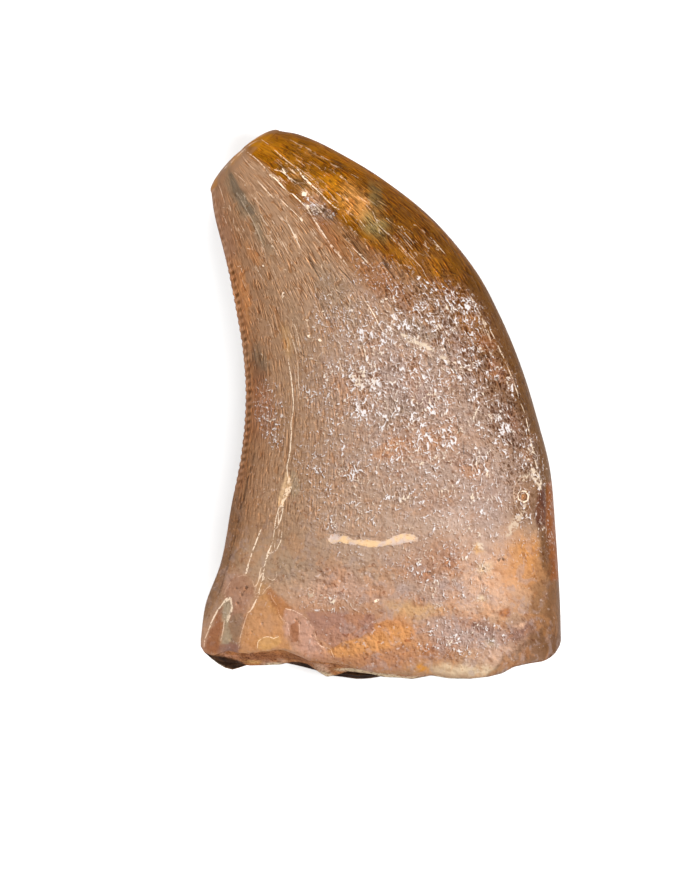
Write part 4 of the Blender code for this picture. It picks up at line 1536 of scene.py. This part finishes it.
def bloom_marks(graph, place, colour):
    """Mineral bloom: pale strokes with a painted shadow on one side, and dark gaps between them."""
    bloom = graph.attribute("bloom")
    flow = graph.attribute("flow", "Vector")
    total = strokes(graph, place, flow)
    painted_shadow_strokes = strokes(graph, graph.moved(place, PLACE_SHIFT), graph.moved(flow, PLACE_SHIFT))
    colour = bloom_ground(graph, place, colour, bloom)
    gaps = graph.math("MAXIMUM", graph.attribute("coarse"), graph.times(bloom, 0.95))
    pits = graph.times(graph.step(total, 0.80, 0.25), gaps)
    colour = graph.tint(pits, colour, PIT_TINT)

    cluster = graph.minus(graph.noise(place, 0.75, 4.0, 0.65), 0.5)
    level = graph.times_plus(cluster, 2.4, graph.times_plus(bloom, 1.1, -1.18))
    level = graph.math("MINIMUM", level, 0.08)
    raised = graph.plus(total, level)
    some = graph.step(bloom, 0.0, 0.15)
    # Painted shadow: the strokes again, shifted, darken one side of each stroke.
    side = graph.times(graph.step(graph.plus(painted_shadow_strokes, level), 0.70, 1.30), some)
    colour = graph.tint(graph.times(side, 0.75), colour, STROKE_PAINTED_SHADOW)
    haze = graph.times(graph.step(raised, 0.55, 1.20), graph.times(some, 0.34))
    colour = graph.mix(haze, colour, shade("blush"))
    white = graph.times(graph.step(raised, 1.22, 1.70), some)
    tone = graph.mix(graph.patches(place, (1.1, 2.0, 0.5), 0.50, 0.62), shade("frost"), shade("ivory"))
    return graph.mix(white, colour, tone), white, pits


def crust_marks(graph, place, colour):
    """The mineral crusts and the gouge."""
    crust = line_mask(graph, "crust", place, 4.0, 1.5)
    crust = graph.times(crust, graph.patches(place, (4.0, 3.0, 0.6), 0.42, 0.54))
    tone = graph.mix(graph.attribute("crust_tone"), shade("tan"), shade("ivory"))
    colour = graph.mix(crust, colour, tone)
    scar = line_mask(graph, "scar", place, 3.2, 0.5)
    inner = graph.mix(graph.patches(place, (1.6, 3.0, 0.6), 0.36, 0.62), shade("blush"), shade("sand"))
    speck = graph.patches(place, (6.0, 2.0, 0.6), 0.56, 0.68)
    return graph.mix(scar, colour, graph.mix(graph.times(speck, 0.5), inner, shade("apricot")))


def dark_marks(graph, place, colour):
    """Dark cracks and furrows with a painted highlight on one side. Also gives their mask, for the relief.
    """
    # Painted highlight: the dark lines again, shifted, lighten one side of each.
    painted_highlight = line_mask(graph, "dark", place, 1.2, 0.5, LINE_SHIFT)
    colour = graph.tint(graph.times(painted_highlight, 0.55), colour, HAIR_PAINTED_HIGHLIGHT)
    dark = line_mask(graph, "dark", place, 1.2, 0.5)
    broken = graph.patches(place, (2.2, 2.0, 0.5), 0.40, 0.52)
    broken = graph.math("MAXIMUM", broken, graph.step(graph.attribute("dark_width"), 1.4, 1.8))
    share = graph.times(graph.times(dark, graph.attribute("dark_tone")), broken)
    return graph.mix(graph.times(share, 0.7), colour, shade("shadow")), dark


def pale_marks(graph, place, colour):
    """Pale cracks with a painted shadow on one side: the dull ones take the ground's own tone, the others a
    near white.
    """
    tone = graph.attribute("crack_tone")
    whole = graph.patches(place, (2.8, 2.0, 0.6), 0.34, 0.44)
    # Painted shadow: the cracks again, shifted, darken one side of each.
    side = graph.times(line_mask(graph, "crack", place, 0.9, 0.5, LINE_SHIFT), whole)
    colour = graph.tint(graph.times(side, 0.75), colour, STROKE_PAINTED_SHADOW)
    crack = line_mask(graph, "crack", place, 0.9, 0.3)
    local = graph.tint(1.0, graph.attribute("stain_and_shade", "Color"), DULL_CRACK)
    share = graph.times(graph.times(crack, graph.times_plus(tone, 0.35, 0.60)), whole)
    share = graph.times(share, graph.patches(place, (9.0, 1.0, 0.5), 0.30, 0.46))
    return graph.mix(share, colour, graph.mix(tone, local, shade("gleam")))


def new_graph(name):
    """A new material, its nodes, and the place on the skin in millimetres."""
    material = bpy.data.materials.new(name)
    graph = Graph(material)
    return material, graph, graph.scaled(graph.node("ShaderNodeTexCoord", {}).outputs["Object"], 1.0 / MM)


def fossil_material():
    """Stained, cracked and finely grained enamel over dentine."""
    material, graph, place = new_graph("fossil_enamel_detail")
    colour = mottling(graph, place, graph.attribute("stain_and_shade", "Color"))
    colour, pebbles = pebbling(graph, place, colour)
    colour, dashes = grain(graph, place, colour)
    colour, white, pits = bloom_marks(graph, place, colour)
    colour, dark_line = dark_marks(graph, place, crust_marks(graph, place, colour))
    colour = pale_marks(graph, place, colour)
    colour = graph.mix(graph.attribute("notch"), colour, shade("bark"))
    height = graph.times_plus(pebbles, 1.4, graph.times_plus(white, 0.30, dashes))
    height = graph.minus(height, graph.times(dark_line, 0.5))
    height = graph.minus(height, graph.times(pits, 0.3))
    graph.finish(colour, height, 0.00005, graph.times_plus(white, 0.25, 0.36), 0.015)
    return material


def break_material():
    """Broken dentine and the walls of the cavity: dull, porous and stained."""
    material, graph, place = new_graph("fossil_break_detail")
    coarse = graph.noise(place, 2.4, 5.0, 0.7)
    pores = graph.noise(place, 7.0, 3.0, 0.65)
    colour = graph.attribute("stain_and_shade", "Color")
    colour = graph.tint(graph.step(coarse, 0.52, 0.66), colour, BREAK_DARK)
    colour = graph.tint(graph.step(coarse, 0.48, 0.36), colour, BREAK_LIGHT)
    colour = graph.tint(graph.step(pores, 0.50, 0.38), colour, PORE_TINT)
    graph.finish(colour, graph.plus(coarse, graph.times(pores, 0.4)), 0.00018, 0.9, 0.05)
    return material


def mottling_share(pixels):
    """How strongly the ground is mottled: most over the base, some under the bloom, little at its left."""
    share = 0.05 + 0.95 * between(pixels[..., 1], 470.0, 590.0)
    share *= 1.0 - 0.75 * cover_of(pixels, 262.0, 630.0, 70.0, 60.0, 0.0, 0.5)
    share *= 1.0 - 0.70 * cover_of(pixels, 556.0, 540.0, 90.0, 22.0, 88.0, 0.5)
    return np.maximum(share, np.minimum(1.25 * density(pixels, BLOOM), 1.0))


def build_tooth():
    """The tooth's skin, with its marks stored on its points."""
    skin = Skin()
    pixels = to_pixels(skin.point)
    fields = mark_fields(skin, pixels)
    height = relief(skin, fields)
    normals = grid_normals(skin.point)
    stain_and_shade = stain_and_shade_colours(skin, pixels)
    skin.point = skin.point + normals * height[..., None]
    skin.point[..., 2] = np.maximum(skin.point[..., 2], 0.0)
    flow = np.stack([skin.across * 20.0, skin.share * 29.0, skin.sides * 7.0], axis=-1)
    upper = (skin.sides >= 0) * 1.0
    outside = (skin.zone >= RIM)[:, None] * 1.0
    flanks = outside * (skin.zone < TIP)[:, None]
    grit = (1.0 - 0.95 * between(pixels[..., 1] + 0.25 * pixels[..., 0], 510.0, 620.0)) * flanks
    grit *= (1.0 - 0.85 * density(pixels, PEBBLED)) * (1.0 - density(pixels, SMOOTH))
    attributes = {
        "notch": skin.notch,
        "flow": flow,
        "wide": skin.width / skin.width.max(),
        "grit": grit,
        "hairs": density(pixels, HAIRS) * (1.0 - between(pixels[..., 1], 500.0, 580.0)) * flanks,
        "pebbled": density(pixels, PEBBLED) * outside,
        "coarse": density(pixels, COARSE) * outside,
        "mottled": mottling_share(pixels) * outside,
        "stain_and_shade": stain_and_shade,
        "bloom": density(pixels, BLOOM) * (0.4 + 0.6 * upper) * outside,
    }
    for label in ("crack", "dark", "scar", "crust"):
        attributes[label] = fields[label]["offset"]
        attributes[label + "_width"] = fields[label]["width"]
        attributes[label + "_tone"] = fields[label]["tone"]
    piece = make_mesh("tooth_surface", skin.point, attributes)
    piece.data.materials.append(fossil_material())
    piece.data.materials.append(break_material())
    broken = np.zeros(len(piece.data.polygons), np.int32)
    columns = skin.point.shape[1]
    broken[: np.count_nonzero(skin.zone < RIM) * columns] = 1
    broken[-2 * columns : -columns] = 1
    piece.data.polygons.foreach_set("material_index", broken)
    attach(piece, "root")
    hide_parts("tooth")
    return piece


# ---- Stage ----
FLOOR_SIZE = 1.2
FLOOR_COLOUR = (0.62, 0.62, 0.62, 1.0)
DOME_STRENGTH = 0.42
LIGHT_SIZE = 0.30
# Name, place in metres and power in watts.
LIGHTS = (
    ("key", (0.42, -0.08, 0.34), 5.6),
    ("fill", (-0.38, 0.24, 0.34), 3.6),
    ("rear", (-0.10, -0.44, 0.34), 2.8),
    ("side", (0.12, 0.44, 0.34), 2.6),
)
CAMERA_DISTANCE = 0.5
FRAME_HEIGHT = IMAGE_SIZE[1] * PIXEL * MM
LENS_LEVEL = 0.0045
SENSOR = 36.0


def build_floor():
    """A plain pale floor under the tooth."""
    half = FLOOR_SIZE / 2
    mesh = bpy.data.meshes.new("floor")
    corners = [(-half, -half, 0), (half, -half, 0), (half, half, 0), (-half, half, 0)]
    mesh.from_pydata(corners, [], [(0, 1, 2, 3)])
    floor = add_object("floor", mesh)
    material = bpy.data.materials.new("floor")
    material.use_nodes = True
    shader = material.node_tree.nodes["Principled BSDF"]
    shader.inputs["Base Color"].default_value = FLOOR_COLOUR
    shader.inputs["Roughness"].default_value = 0.9
    mesh.materials.append(material)


def add_light(name, place, power):
    """A square area light that faces the tooth."""
    data = bpy.data.lights.new(name, "AREA")
    data.size = LIGHT_SIZE
    data.energy = power
    light = add_object(name, data)
    light.location = place
    light.rotation_euler = (-Vector(place)).to_track_quat("-Z", "Y").to_euler()


def build_light():
    """Soft studio light: a bright even dome and four broad panels."""
    world = bpy.data.worlds.new("studio")
    bpy.context.scene.world = world
    world.use_nodes = True
    back = world.node_tree.nodes["Background"]
    back.inputs["Color"].default_value = (1.0, 1.0, 1.0, 1.0)
    back.inputs["Strength"].default_value = DOME_STRENGTH
    for name, place, power in LIGHTS:
        add_light(name, place, power)


def build_camera():
    """Looks straight down, so that the flank fills the frame as in the photograph."""
    data = bpy.data.cameras.new("camera")
    data.sensor_width = SENSOR
    data.lens = SENSOR * (CAMERA_DISTANCE - LENS_LEVEL) / FRAME_HEIGHT
    data.clip_start = 0.01
    data.clip_end = 10.0
    camera = add_object("camera", data)
    middle = to_plan(np.array(IMAGE_SIZE, float) / 2) * MM
    camera.location = (middle[0], middle[1], CAMERA_DISTANCE)
    bpy.context.scene.camera = camera


build_tooth()
build_floor()
build_light()
build_camera()
bpy.context.scene.view_settings.view_transform = "Standard"
